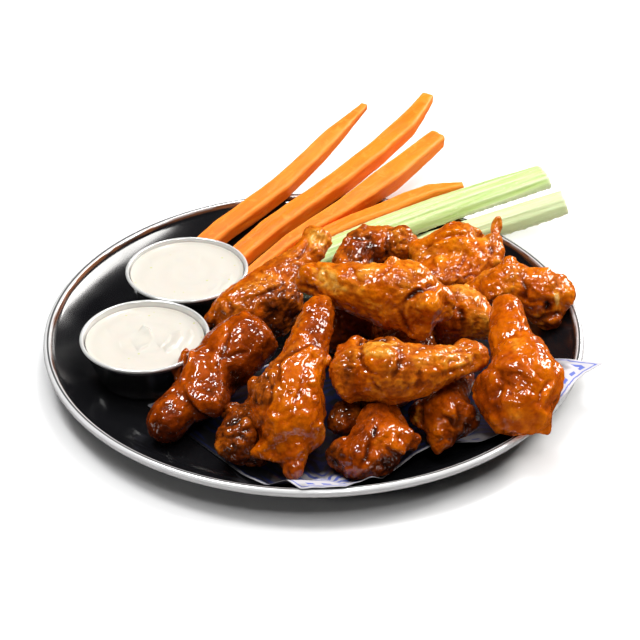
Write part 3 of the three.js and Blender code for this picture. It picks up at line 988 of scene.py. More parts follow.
@dataclass(frozen=True)
class CupSteel(Finish):
    """Thin pressed steel, brushed round by use."""

    title = "pressed_steel"
    steel: Colour = (0.85, 0.85, 0.83)
    tarnish: Colour = (0.42, 0.41, 0.4)
    tarnished: float = 0.3  # how much of the tarnish shows at most
    gloss: Pair = (0.12, 0.22)  # roughness where it is clean and hazy
    brush_mm: float = 0.02  # depth of the brushing
    brush_stretch: Triple = (1.0, 1.0, 6.0)  # what makes its marks long round the cup and thin
    rim_from_m: Pair = (0.021, 0.0245)  # heights between which the wall becomes the rim
    rim_metal: float = 0.45  # of the rim, which food has dulled

    def sockets(self, bench: Bench) -> dict[str, Value | Colour]:
        """Makes the finish's nodes.

        Args:
            bench: Where they are made.

        Returns:
            What the shader's sockets get.
        """
        where = bench.place()
        brushed = bench.stretched(where, self.brush_stretch)
        brush = bench.effect(EFFECTS.crumb, vector=brushed, per_metre=300.0)
        haze = bench.effect(EFFECTS.blotch, vector=where, per_metre=60.0, level=0.5, softness=0.5)
        return {
            "Base Color": bench.mix(bench.math("MULTIPLY", haze, self.tarnished), self.steel, self.tarnish),
            "Metallic": bench.remap(height_m(bench), *self.rim_from_m, 1.0, self.rim_metal),
            "Roughness": bench.remap(haze, 0.0, 1.0, *self.gloss),
            "Normal": bench.bump(brush, self.brush_mm),
        }


@dataclass(frozen=True)
class DipFinish(Finish):
    """Thick white dip with a few specks of herb."""

    title = "creamy_dip"
    cream: Colour = (0.515, 0.485, 0.435)
    shade: Colour = (0.49, 0.46, 0.395)
    shaded: float = 0.35  # how much of the shade shows at most
    herb: Colour = (0.42, 0.45, 0.10)
    herb_strength: float = 0.7
    gloss: Pair = (0.12, 0.2)
    lump_mm: float = 0.05
    milkiness: float = 0.15
    light_reach_m: float = 0.004

    def sockets(self, bench: Bench) -> dict[str, Value | Colour]:
        """Makes the finish's nodes.

        Args:
            bench: Where they are made.

        Returns:
            What the shader's sockets get.
        """
        where = bench.place()
        slow = bench.effect(EFFECTS.blotch, vector=where, per_metre=50.0, level=0.5, softness=0.5)
        flecks = bench.effect(EFFECTS.specks, vector=where, per_metre=420.0, share=0.035, size=0.34)
        colour = bench.mix(bench.math("MULTIPLY", slow, self.shaded), self.cream, self.shade)
        lumps = bench.effect(EFFECTS.crumb, vector=where, per_metre=350.0, fineness=4.0)
        return {
            "Base Color": bench.mix(bench.math("MULTIPLY", flecks, self.herb_strength), colour, self.herb),
            "Roughness": bench.remap(lumps, *NOISE_RANGE, *self.gloss),
            "Subsurface Weight": self.milkiness,
            "Subsurface Scale": self.light_reach_m,
            "Normal": bench.bump(lumps, self.lump_mm),
        }


@dataclass(frozen=True)
class PaperFinish(Finish):
    """Greaseproof paper with a blue print. Where it lies on the dish it is soaked and shows the black."""

    title = "soaked_greaseproof"
    dry: Colour = (0.46, 0.45, 0.475)
    soaked: Colour = (0.010, 0.010, 0.012)
    ink: Colour = (0.085, 0.12, 0.42)
    soaked_ink: Colour = (0.008, 0.012, 0.05)
    inset_range_mm: float = 40.0  # how far in from the cut edge the sheet is measured
    fine_line_mm: float = 1.6  # from the cut edge
    fine_half_mm: Pair = (0.5, 0.2)  # how far from its middle the line is gone, and full
    dashes_mm: float = 4.6  # from the cut edge
    dash_half_mm: Pair = (1.2, 0.8)
    dash_way: Triple = (1.0, 0.55, 0.0)
    dashes_per_metre: float = 130.0
    dash_ends: Pair = (0.35, 0.65)  # heights of the wave between which a dash sets in
    dash_stray_per_metre: float = 240.0  # of the noise that makes the dashes unequal
    rows_from_mm: Pair = (9.0, 11.0)  # where the wavy rows set in, from the cut edge
    row_mm: float = 4.2  # from one wavy row to the next
    row_waver: float = 7.0  # radians by which a row strays
    waver_per_metre: float = 130.0  # of the noise that it strays by
    row_sides: Pair = (-0.1, 0.4)  # heights of the wave between which a row sets in
    fibre_mm: float = 0.12  # height of its fibres
    gloss: Pair = (0.3, 0.62)  # roughness of soaked and dry paper

    def sockets(self, bench: Bench) -> dict[str, Value | Colour]:
        """Makes the finish's nodes.

        Args:
            bench: Where they are made.

        Returns:
            What the shader's sockets get.
        """
        dry = bench.attribute("dry").outputs["Fac"]
        ink = self.ink_mask(bench)
        wet_print = bench.mix(ink, self.soaked, self.soaked_ink)
        fibre = bench.effect(EFFECTS.crumb, vector=bench.place(), per_metre=500.0)
        return {
            "Base Color": bench.mix(dry, wet_print, bench.mix(ink, self.dry, self.ink)),
            "Roughness": bench.remap(dry, 0.0, 1.0, *self.gloss),
            "Normal": bench.bump(fibre, self.fibre_mm),
        }

    def ink_mask(self, bench: Bench) -> Socket:
        """The print: a fine line along the cut, a row of dashes inside it, and wavy rows.

        Args:
            bench: Where the nodes are made.

        Returns:
            1 where there is ink.
        """
        where = bench.place()
        inset = bench.math("MULTIPLY", bench.attribute("inset").outputs["Fac"], self.inset_range_mm)
        line = bench.remap(bench.away(inset, self.fine_line_mm), *self.fine_half_mm)
        inputs = {0: where, 1: self.dash_way}
        along = bench.node("ShaderNodeVectorMath", inputs, operation="DOT_PRODUCT").outputs["Value"]
        beat = bench.math("SINE", bench.math("MULTIPLY", along, math.tau * self.dashes_per_metre))
        unequal = bench.math("ADD", beat, bench.noise(where, self.dash_stray_per_metre, detail=1.0))
        lengths = bench.remap(unequal, *self.dash_ends)
        widths = bench.remap(bench.away(inset, self.dashes_mm), *self.dash_half_mm)
        dashes = bench.math("MULTIPLY", widths, lengths)
        waver = bench.math("MULTIPLY", bench.noise(where, self.waver_per_metre, detail=1.0), self.row_waver)
        phase = bench.math("ADD", bench.math("MULTIPLY", inset, math.tau / self.row_mm), waver)
        waves = bench.remap(bench.math("SINE", phase), *self.row_sides)
        rows = bench.math("MULTIPLY", waves, bench.remap(inset, *self.rows_from_mm))
        return bench.math("MAXIMUM", bench.math("MAXIMUM", line, dashes), rows)


@dataclass(frozen=True)
class WingFinish(Finish):
    """Fried skin under hot orange sauce.

    It is browner in the hollows and golden on the bumps, painted as shade and light into its tone, and
    glossy where the sauce is thick. A pair holds the value on bare skin and the value under thick sauce,
    where its comment says no more.
    """

    title = "fried_skin_in_sauce"
    under_sauce: tuple[tuple[float, Colour], ...] = (
        (0.0, (0.012, 0.002, 0.0005)),
        (0.16, (0.060, 0.008, 0.0006)),
        (0.34, (0.165, 0.022, 0.0006)),
        (0.5, (0.35, 0.055, 0.0006)),
        (0.66, (0.54, 0.115, 0.0008)),
        (0.8, (0.68, 0.185, 0.002)),
        (0.92, (0.76, 0.28, 0.006)),
        (1.0, (0.82, 0.38, 0.03)),
    )
    crisp: tuple[tuple[float, Colour], ...] = (
        (0.0, (0.012, 0.003, 0.001)),
        (0.16, (0.055, 0.010, 0.0015)),
        (0.34, (0.155, 0.028, 0.0015)),
        (0.5, (0.33, 0.068, 0.003)),
        (0.66, (0.49, 0.14, 0.007)),
        (0.8, (0.61, 0.24, 0.022)),
        (0.92, (0.69, 0.34, 0.07)),
        (1.0, (0.75, 0.45, 0.17)),
    )
    crumbs_per_metre: float = 420.0
    crumb_tone: Pair = (0.34, 0.14)  # how much lighter or darker a crumb is
    char_tone: Pair = (-0.16, -0.05)  # how much darker a charred speck is
    mottle_tone: Pair = (-0.09, 0.09)  # from the darkest to the lightest of the slow mottle
    mottle_per_metre: float = 230.0
    mottle: Pair = (1.0, 0.3)  # how much of the mottle shows
    mottle_sauce: Pair = (0.3, 1.0)  # how thick the sauce is where the mottle starts and ends to fade
    coated_sauce: Pair = (0.3, 0.7)  # how thick it is where its colour sets in and is full
    gloss: Pair = (0.5, 0.26)
    gloss_stray: Pair = (-0.06, 0.08)  # from the glossiest to the dullest patches of the skin
    gloss_stray_per_metre: float = 160.0
    skin_specular: float = 0.04
    pools_per_metre: float = 300.0  # patches of wet sauce, where it is thick
    pool_edge: Pair = (0.40, 0.48)  # the part of the noise in which a pool sets in
    beads_per_metre: float = 560.0  # small wet spots, where it is thin
    bead_edge: Pair = (0.47, 0.55)  # the same for a wet spot
    pool_sauce: Pair = (0.3, 0.8)  # how thick the sauce is where pools take over from wet spots
    wet_ior: float = 1.72
    wet_roughness: float = 0.025
    pore_mm: float = 0.6
    ripples_per_metre: float = 270.0
    ripple: Pair = (1.0, 0.6)  # how much of the ripple shows
    ripple_sauce: Pair = (0.5, 1.0)  # how thick the sauce is where the ripple starts and ends to fade
    ripple_mm: float = 0.4
    wet_ripple_mm: float = 0.6

    def sockets(self, bench: Bench) -> dict[str, Value | Colour]:
        """Makes the finish's nodes.

        Args:
            bench: Where they are made.

        Returns:
            What the shader's sockets get.
        """
        where = bench.place()
        sauce = bench.attribute("sauce").outputs["Fac"]
        crumb = bench.effect(EFFECTS.crumb, vector=where, per_metre=self.crumbs_per_metre, fineness=2.7)
        tone = self.mottled(bench, sauce, crumb)
        coated = bench.remap(sauce, *self.coated_sauce)
        patches = bench.noise(where, self.gloss_stray_per_metre, detail=3.0)
        stray = bench.remap(patches, *NOISE_RANGE, *self.gloss_stray)
        pools = bench.noise(where, self.pools_per_metre, detail=1.0, warp=0.8)
        beads = bench.noise(where, self.beads_per_metre, detail=0.0, warp=0.8)
        wet = bench.blend(
            bench.remap(sauce, *self.pool_sauce), bench.remap(beads, *self.bead_edge),
            bench.remap(pools, *self.pool_edge))
        fade = bench.remap(sauce, *self.ripple_sauce, *self.ripple)
        waves = bench.noise(where, self.ripples_per_metre, detail=0.0, warp=0.5)
        ripple = bench.math("MULTIPLY", waves, fade)
        bare_colour = bench.ramp(tone, self.crisp)
        return {
            "Base Color": bench.mix(coated, bare_colour, bench.ramp(tone, self.under_sauce)),
            "Roughness": bench.math("ADD", bench.remap(sauce, 0.0, 1.0, *self.gloss), stray),
            "Specular IOR Level": self.skin_specular,
            "Normal": bench.bump(ripple, self.ripple_mm, bench.bump(crumb, self.pore_mm)),
            "Coat Weight": wet,
            "Coat IOR": self.wet_ior,
            "Coat Roughness": self.wet_roughness,
            "Coat Normal": bench.bump(ripple, self.wet_ripple_mm),
        }

    def mottled(self, bench: Bench, sauce: Socket, crumb: Socket) -> Socket:
        """The tone that the wing's mesh holds, made uneven by crumbs, charred specks and slow mottle.

        Args:
            bench: Where the nodes are made.
            sauce: How thick the sauce lies, from 0 to 1.
            crumb: The crumb's grain, from 0 to 1.

        Returns:
            How light the skin is, from 0 to 1.
        """
        where = bench.place()
        tone = bench.attribute("tone").outputs["Fac"]
        grain = bench.remap(sauce, 0.0, 1.0, *self.crumb_tone)
        shift = bench.math("MULTIPLY", bench.math("SUBTRACT", crumb, 0.5), grain)
        char = bench.effect(EFFECTS.specks, vector=where, per_metre=260.0, share=0.10, size=0.42)
        darker = bench.math("MULTIPLY", char, bench.remap(sauce, 0.0, 1.0, *self.char_tone))
        slow = bench.remap(bench.noise(where, self.mottle_per_metre), *NOISE_RANGE, *self.mottle_tone)
        mottle = bench.math("MULTIPLY", slow, bench.remap(sauce, *self.mottle_sauce, *self.mottle))
        uneven = bench.math("ADD", tone, bench.math("ADD", shift, mottle))
        return bench.math("ADD", uneven, darker, clamp=True)


@dataclass(frozen=True)
class CarrotFinish(Finish):
    """Cut carrot: bright orange with fibres along it, and pale dry places at its edges."""

    title = "cut_carrot"
    flesh: Colour = (0.82, 0.19, 0.006)
    pale: Colour = (0.82, 0.29, 0.04)
    deep: Colour = (0.80, 0.135, 0.003)
    line_strength: float = 0.5  # how pale the fibres are
    line_edge: Pair = (0.5, 0.8)  # the part of the noise in which a pale fibre sets in
    fibre_stretch: Triple = (0.12, 1.0, 1.0)  # what makes the fibres long
    core_stretch: Triple = (0.25, 1.0, 1.0)  # the same for the deeper places
    dry_strength: float = 0.5  # how pale the dry patches are
    fibre_mm: float = 0.35
    gloss: Pair = (0.32, 0.5)
    specular: float = 0.25
    milkiness: float = 0.15
    light_reach_m: float = 0.003

    def sockets(self, bench: Bench) -> dict[str, Value | Colour]:
        """Makes the finish's nodes.

        Args:
            bench: Where they are made.

        Returns:
            What the shader's sockets get.
        """
        grain = bench.attribute("grain").outputs["Vector"]
        thin = bench.stretched(grain, self.fibre_stretch)
        fibres = bench.effect(EFFECTS.crumb, vector=thin, per_metre=700.0)
        broad = bench.stretched(grain, self.core_stretch)
        cores = bench.effect(EFFECTS.blotch, vector=broad, per_metre=110.0, level=0.5, softness=0.3)
        dry = bench.effect(EFFECTS.blotch, vector=bench.place(), per_metre=160.0, level=0.62, softness=0.12)
        colour = bench.mix(cores, self.flesh, self.deep)
        lines = bench.remap(fibres, *self.line_edge, 0.0, self.line_strength)
        colour = bench.mix(lines, colour, self.pale)
        dried = bench.math("MULTIPLY", dry, self.dry_strength)
        edge = bench.math("MAXIMUM", bench.attribute("worn").outputs["Fac"], dried)
        return {
            "Base Color": bench.mix(edge, colour, self.pale),
            "Roughness": bench.remap(fibres, *NOISE_RANGE, *self.gloss),
            "Specular IOR Level": self.specular,
            "Subsurface Weight": self.milkiness,
            "Subsurface Scale": self.light_reach_m,
            "Normal": bench.bump(fibres, self.fibre_mm),
        }


@dataclass(frozen=True)
class CeleryFinish(Finish):
    """Cut celery: pale green flesh, whiter on the ribs and where it is cut."""

    title = "cut_celery"
    flesh: Colour = (0.39, 0.52, 0.17)
    rib: Colour = (0.48, 0.59, 0.26)
    cut: Colour = (0.60, 0.65, 0.41)
    cell_strength: float = 0.35  # how pale the flesh's cells are
    cell_stretch: Triple = (0.5, 1.0, 1.0)  # what makes the cells long
    rib_edge: Pair = (0.4, 0.7)  # the part of the noise in which a rib sets in
    fibre_stretch: Triple = (0.08, 1.0, 1.0)
    fibre_mm: float = 0.4
    gloss: Pair = (0.25, 0.4)
    milkiness: float = 0.1
    light_reach_m: float = 0.003

    def sockets(self, bench: Bench) -> dict[str, Value | Colour]:
        """Makes the finish's nodes.

        Args:
            bench: Where they are made.

        Returns:
            What the shader's sockets get.
        """
        grain = bench.attribute("grain").outputs["Vector"]
        thin = bench.stretched(grain, self.fibre_stretch)
        fibres = bench.effect(EFFECTS.crumb, vector=thin, per_metre=520.0)
        broad = bench.stretched(grain, self.cell_stretch)
        cells = bench.effect(EFFECTS.specks, vector=broad, per_metre=500.0, share=0.3)
        colour = bench.mix(bench.remap(fibres, *self.rib_edge), self.flesh, self.rib)
        colour = bench.mix(bench.attribute("worn").outputs["Fac"], colour, self.cut)
        return {
            "Base Color": bench.mix(bench.math("MULTIPLY", cells, self.cell_strength), colour, self.cut),
            "Roughness": bench.remap(fibres, *NOISE_RANGE, *self.gloss),
            "Subsurface Weight": self.milkiness,
            "Subsurface Scale": self.light_reach_m,
            "Normal": bench.bump(fibres, self.fibre_mm),
        }


@dataclass(frozen=True)
class FloorFinish(Finish):
    """A plain white floor."""

    title = "white_floor"
    white: Colour = (0.76, 0.76, 0.76)
    painted_light_and_shade: Colour = (0.77, 0.77, 0.77)
    clouds_per_metre: float = 3.0
    roughness: float = 0.8

    def sockets(self, bench: Bench) -> dict[str, Value | Colour]:
        """Makes the finish's nodes.

        Args:
            bench: Where they are made.

        Returns:
            What the shader's sockets get.
        """
        clouds = bench.noise(bench.place(), self.clouds_per_metre)
        return {"Base Color": bench.mix(clouds, self.white, self.painted_light_and_shade), "Roughness": self.roughness}


# ---- dish, cups and dip --------------------------------------------------------------------------


def stand_in(piece: bpy.types.Object, node: str, finish: Finish) -> None:
    """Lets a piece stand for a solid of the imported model, and dresses it.

    Args:
        piece: The piece.
        node: The solid's name.
        finish: Its finish.
    """
    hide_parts(node)
    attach(piece, ROOT)
    finish.dress(piece)


def turned(name: str, profile: Sequence[Pair], centre: Spot, steps: int) -> bpy.types.Object:
    """Spins a profile round an upright axis.

    Args:
        name: The piece's name.
        profile: Radius and height of each corner, in millimetres, from the axis and back to it.
        centre: The axis in plan, in millimetres.
        steps: Faces round the axis.

    Returns:
        The piece.
    """
    work = bmesh.new()
    corners = [work.verts.new((centre[0] * MM + r * MM, centre[1] * MM, z * MM)) for r, z in profile]
    edges = [work.edges.new(pair) for pair in zip(corners, corners[1:])]
    bmesh.ops.spin(
        work, geom=corners + edges, cent=(centre[0] * MM, centre[1] * MM, 0.0), axis=(0.0, 0.0, 1.0),
        angle=math.tau, steps=steps, use_merge=True)
    bmesh.ops.remove_doubles(work, verts=work.verts, dist=WELD_MM * MM)
    bmesh.ops.recalc_face_normals(work, faces=work.faces)
    mesh = bpy.data.meshes.new(name)
    work.to_mesh(mesh)
    work.free()
    smooth(mesh)
    return link(name, mesh)


def arc(centre: Spot, radius: float, sweep: Pair, steps: int) -> list[Pair]:
    """Corners on a circular arc of a profile, swept between two angles in degrees."""
    angles = np.radians(np.linspace(*sweep, steps + 1))
    return [(centre[0] + radius * math.cos(a), centre[1] + radius * math.sin(a)) for a in angles]


@dataclass
class Dish:
    """The round dish: a flat floor, a wall that steepens, and a rolled bead."""

    rim_mm: float = 140.0
    bead_mm: float = 2.1
    bead_height_mm: float = 16.4
    bead_sweep: Pair = (-130.0, 166.0)
    bead_steps: int = 18
    floor_mm: float = 110.0
    floor_rings_mm: tuple[float, ...] = (0.0, 25.0, 60.0, 95.0)
    thickness_mm: float = 1.2
    wall_top_mm: float = 136.2
    wall_power: float = 1.5
    wall_steps: int = 22
    under_out_mm: float = 0.72  # how far the wall's outer face lies outside the inner one
    steps: int = 224

    def face(self, radius: float) -> float:
        """Height of the inner face at a radius, in millimetres."""
        share = min(max((radius - self.floor_mm) / (self.wall_top_mm - self.floor_mm), 0.0), 1.0)
        return self.thickness_mm + (self.bead_height_mm - self.thickness_mm) * share ** self.wall_power

    def build(self) -> None:
        """Spins the dish and dresses it."""
        run = self.wall_top_mm - self.floor_mm
        radii = [self.floor_mm + run * i / self.wall_steps for i in range(self.wall_steps)]
        outside = [(r + self.under_out_mm, self.face(r) - self.thickness_mm) for r in radii]
        inside = [(r, self.face(r)) for r in reversed(radii)]
        middle = (self.rim_mm - self.bead_mm, self.bead_height_mm)
        bead = arc(middle, self.bead_mm, self.bead_sweep, self.bead_steps)
        base = [(r, 0.0) for r in self.floor_rings_mm]
        floor = [(r, self.thickness_mm) for r in reversed(self.floor_rings_mm)]
        profile = [*base, *outside, *bead, *inside, *floor]
        piece = turned("enamel_dish", profile, (0.0, 0.0), self.steps)
        stand_in(piece, "dish", Enamel())


@dataclass
class DipCup:
    """A small steel cup with a rolled rim, filled with dip."""

    side: str
    centre_mm: Spot
    dip_below_mm: float
    swirl_mm: float
    seed: int
    strokes: tuple[Stroke, ...] = ()  # the spoon's marks
    height_mm: float = 25.0
    rim_mm: float = 33.1
    bead_mm: float = 0.95
    bead_sweep: Pair = (-99.0, 171.0)
    bead_steps: int = 14
    mouth_mm: float = 32.0
    mouth_height_mm: float = 23.4
    heel_mm: float = 4.0
    heel_centre_mm: float = 20.9
    heel_sweep: Pair = (-90.0, -19.8)
    heel_steps: int = 8
    thickness_mm: float = 0.8
    cup_steps: int = 128
    dip_clear_mm: float = 0.3
    dip_rings: int = 60
    dip_steps: int = 160
    whorl_mm: float = 13.0  # from one wave of the swirl to the next
    turn_stray: Pair = (0.7, 26.0)  # radians by which the swirl strays, and the noise's size in mm
    wave_stray: Pair = (1.6, 18.0)  # the same for its waves
    wave: float = 0.4  # height of a wave, as a share of the swirl's
    lumps: Pair = (0.25, 9.0)  # height of the lumps, as a share of the swirl's, and their size in mm
    calm_middle_mm: Pair = (2.0, 9.0)  # radii between which the swirl sets in
    calm_edge: Pair = (0.86, 1.0)  # shares of the radius between which it ends
    meniscus_mm: float = 0.5
    meniscus_from: float = 0.93  # share of the radius
    top_fade_mm: float = 0.05  # how far under its level the dip still counts as its top

    def wall(self, inset: float) -> list[Pair]:
        """The wall from the base to the mouth.

        Args:
            inset: How far it lies inside the outer face.

        Returns:
            Radius and height of its corners.
        """
        middle = (self.heel_centre_mm, self.heel_mm)
        heel = arc(middle, self.heel_mm - inset, self.heel_sweep, self.heel_steps)
        return [*heel, (self.mouth_mm - inset, self.mouth_height_mm)]

    def foot_mm(self) -> float:
        """Height of the dish's floor under the cup."""
        low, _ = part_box(f"cup_{self.side}")
        return low.z / MM

    def build_cup(self) -> None:
        """Spins the cup and dresses it."""
        foot = self.foot_mm()
        middle = (self.rim_mm - self.bead_mm, self.height_mm - self.bead_mm)
        bead = arc(middle, self.bead_mm, self.bead_sweep, self.bead_steps)
        inside = reversed(self.wall(self.thickness_mm))
        profile = [(0.0, 0.0), *self.wall(0.0), *bead, *inside, (0.0, self.thickness_mm)]
        lifted = [(r, z + foot) for r, z in profile]
        piece = turned(f"steel_cup_{self.side}", lifted, self.centre_mm, self.cup_steps)
        stand_in(piece, f"cup_{self.side}", CupSteel())

    def build_dip(self) -> None:
        """Fills the cup and stirs the top."""
        foot = self.foot_mm()
        level = self.height_mm - self.dip_below_mm
        clear = self.thickness_mm + self.dip_clear_mm
        *wall, high = self.wall(clear)
        low = wall[-1]
        edge = low[0] + (high[0] - low[0]) * (level - low[1]) / (high[1] - low[1])
        top = [(edge * (1.0 - i / self.dip_rings), level) for i in range(self.dip_rings)]
        profile = [(0.0, clear), *wall, *top, (0.0, level)]
        lifted = [(r, z + foot) for r, z in profile]
        piece = turned(f"dip_top_{self.side}", lifted, self.centre_mm, self.dip_steps)
        self.stir(piece.data, level + foot, edge)
        stand_in(piece, f"dip_{self.side}", DipFinish())

    def stir(self, mesh: bpy.types.Mesh, level: float, edge: float) -> None:
        """Leaves the spoon's swirl in the top of the dip.

        Args:
            mesh: The dip.
            level: Height of its top in millimetres.
            edge: Radius of its top in millimetres.
        """
        grit = Grit(self.seed)
        points = points_of(mesh)
        x, y = (points[:, :2] / MM - np.array(self.centre_mm)).T
        radius = np.hypot(x, y)
        top = smoothstep(-self.top_fade_mm, 0.0, points[:, 2] / MM - level)
        turn = np.arctan2(y, x) + grit.scaled(points, *self.turn_stray)
        phase = math.tau * radius / self.whorl_mm - turn + grit.scaled(points, *self.wave_stray)
        calm = smoothstep(*self.calm_middle_mm, radius) * (1.0 - smoothstep(*self.calm_edge, radius / edge))
        swirl = self.wave * np.sin(phase) + grit.scaled(points, *self.lumps)
        meniscus = self.meniscus_mm * smoothstep(self.meniscus_from, 1.0, radius / edge)
        seen = VIEW.pixels(points)
        spooned = sum(stroke.relief(seen) for stroke in self.strokes)
        points[:, 2] += top * ((self.swirl_mm * swirl + spooned) * calm + meniscus) * MM
        move(mesh, points)

    def build(self) -> None:
        """Makes the cup and its dip."""
        self.build_cup()
        self.build_dip()


# ---- liner ---------------------------------------------------------------------------------------


@dataclass
class Liner:
    """The sheet of paper under the food. It is pale only where it stands clear of the dish."""

    seed: int = 3
    rim_mm: float = 140.0
    dry_from_rim_mm: Pair = (-3.0, 3.0)  # where it turns dry, from the rim
    crinkle_mm: float = 0.35
    crinkle_size_mm: float = 11.0
    crinkle_from_mm: Pair = (118.0, 140.0)  # radii between which the crinkles set in
    upright: float = 0.02  # a face whose normal rises less than this belongs to the cut edge
    rounding: int = 8
    stray_size_mm: float = 6.0  # of the noise that makes its dry places uneven
    hem_tone: float = 0.85  # how pale the cut edge is where it lies on the dish
    hem_mm: Pair = (0.52, 1.56)  # from the cut edge, where the hem's paleness is full and gone
    hem_from_px: Pair = (225.0, 245.0)  # columns of the guest's view between which the hem sets in
    clear_of_dish: tuple[Patch, ...] = (
        Patch((578, 378), (30, 34), tone=1.0),
        Patch((322, 482), (42, 8), tone=1.0),
        Patch((368, 476), (18, 6), tone=0.8),
        Patch((468, 439), (24, 5), tone=0.6),
        Patch((151, 405), (8, 6), tone=0.5),
    )

    def build(self) -> None:
        """Crinkles a copy of the sheet and dresses it."""
        piece = copy_of("liner", "paper_liner")
        bend = piece.modifiers.new("bend", "SUBSURF")
        bend.subdivision_type = "SIMPLE"
        bend.levels = bend.render_levels = 3
        settled(piece)
        mesh = piece.data
        inset = self.inset_mm(mesh)
        Skin(mesh).relax(self.rounding)
        points = points_of(mesh)
        grit = Grit(self.seed)
        radius = np.hypot(points[:, 0], points[:, 1]) / MM
        flat = points * np.array([1.0, 1.0, 0.0])
        crinkles = grit.blisters(flat, self.crinkle_size_mm) * smoothstep(*self.crinkle_from_mm, radius)
        points[:, 2] += self.crinkle_mm * MM * crinkles
        move(mesh, points)
        paint(mesh, "inset", np.clip(inset / PaperFinish.inset_range_mm, 0.0, 1.0))
        paint(mesh, "dry", self.dryness(points, radius, inset, grit.at(flat, self.stray_size_mm)))
        stand_in(piece, "liner", PaperFinish())

    def inset_mm(self, mesh: bpy.types.Mesh) -> np.ndarray:
        """How far the sheet reaches in from its cut edge, whose faces are upright.

        Args:
            mesh: The sheet.

        Returns:
            Distances in millimetres, one a point.
        """
        cut = [face.center for face in mesh.polygons if abs(face.normal.z) < self.upright]
        tree = KDTree(len(cut))
        for number, centre in enumerate(cut):
            tree.insert(centre, number)
        tree.balance()
        return np.array([tree.find(point)[2] for point in points_of(mesh)]) / MM

    def dryness(
        self, points: np.ndarray, radius: np.ndarray, inset: np.ndarray, stray: np.ndarray,
    ) -> np.ndarray:
        """How dry and pale the sheet is: past the rim, along its cut edge, and in its clear places.

        Args:
            points: Its points in metres, one a row.
            radius: Their distances from the dish's axis, in millimetres.
            inset: Their distances from the cut edge, in millimetres.
            stray: Noise that makes the clear places uneven.

        Returns:
            One value a point, from 0 to 1.
        """
        seen = VIEW.pixels(points)
        in_view = smoothstep(*self.hem_from_px, seen[:, 0])
        hem = self.hem_tone * in_view * (1.0 - smoothstep(*self.hem_mm, inset))
        dry = np.maximum(smoothstep(*self.dry_from_rim_mm, radius - self.rim_mm), hem)
        for patch in self.clear_of_dish:
            dry = np.maximum(dry, patch.tone * patch.weight(seen, stray))
        return dry


# ---- sticks --------------------------------------------------------------------------------------


def own_axes(points: np.ndarray) -> np.ndarray:
    """A long piece's own coordinates: along it, across it, and through it.

    Args:
        points: Its points in metres, one a row.

    Returns:
        Their own coordinates in metres, one a row.
    """
    middle = points.mean(axis=0)
    _, ways = np.linalg.eigh(np.cov((points - middle).T))
    return (points - middle) @ ways[:, ::-1]


def drawn_out(grain: np.ndarray, share: float) -> np.ndarray:
    """A piece's own coordinates shortened along it, which draws noise out that way."""
    return grain * np.array([share, 1.0, 1.0])


@dataclass
class CarrotStick:
    """A carrot stick, cut by hand."""

    node: str
    seed: int
    voxel_mm: float = 0.8
    waver_mm: Pair = (0.35, 14.0)  # how far its sides stray from straight, and over what length across
    waver_share: float = 0.5  # how much a waver is drawn out along it, as 1 over its length
    fibre_mm: Pair = (0.16, 2.2)  # height and width of a fibre
    fibre_share: float = 0.16
    edge_mm: Pair = (0.12, 0.5)  # how far an edge stands out where it starts to pale, and is palest
    edge_stray_mm: Pair = (0.12, 5.0)  # what noise adds to that, and its size
    edge_tone: float = 0.55
    edge_rounds: int = 24  # of averaging, to tell how far an edge stands out

    def build(self) -> None:
        """Rounds and roughens a copy of the solid and dresses it."""
        piece = fleshed(self.node, f"{self.node}_stick", self.voxel_mm)
        skin = Skin(piece.data)
        grit = Grit(self.seed)
        grain = own_axes(skin.points)
        waver = grit.scaled(drawn_out(grain, self.waver_share), *self.waver_mm)
        skin.push(waver + grit.scaled(drawn_out(grain, self.fibre_share), *self.fibre_mm))
        stands = skin.stand_out_mm(self.edge_rounds) + grit.scaled(skin.points, *self.edge_stray_mm)
        paint(skin.mesh, "grain", grain)
        paint(skin.mesh, "worn", self.edge_tone * smoothstep(*self.edge_mm, stands))
        stand_in(piece, self.node, CarrotFinish())


@dataclass
class CeleryStick:
    """A celery stick, its ribs along its back."""

    node: str
    seed: int
    voxel_mm: float = 0.8
    waver_mm: Pair = (0.25, 12.0)  # how far its sides stray from straight, and over what length across
    waver_share: float = 0.3  # how much a waver is drawn out along it, as 1 over its length
    rib_mm: float = 2.6  # from one rib to the next
    rib_size_mm: float = 30.0  # of the noise that makes the ribs uneven
    rib_height_mm: float = 0.11
    edge_mm: Pair = (0.05, 0.4)  # how far an edge stands out where it starts to pale, and is palest
    edge_rounds: int = 16  # of averaging, to tell how far an edge stands out
    cut: float = 0.0  # how much of its face is the pale cut flesh

    def build(self) -> None:
        """Rounds and ribs a copy of the solid and dresses it."""
        piece = fleshed(self.node, f"{self.node}_stick", self.voxel_mm)
        skin = Skin(piece.data)
        grit = Grit(self.seed)
        grain = own_axes(skin.points)
        phase = math.tau * grain[:, 1] / (self.rib_mm * MM) + grit.at(skin.points, self.rib_size_mm)
        waver = grit.scaled(drawn_out(grain, self.waver_share), *self.waver_mm)
        skin.push(self.rib_height_mm * np.cos(phase) + waver)
        edges = smoothstep(*self.edge_mm, skin.stand_out_mm(self.edge_rounds))
        paint(skin.mesh, "grain", grain)
        paint(skin.mesh, "worn", np.maximum(self.cut, edges))
        stand_in(piece, self.node, CeleryFinish())


# ---- wings ---------------------------------------------------------------------------------------


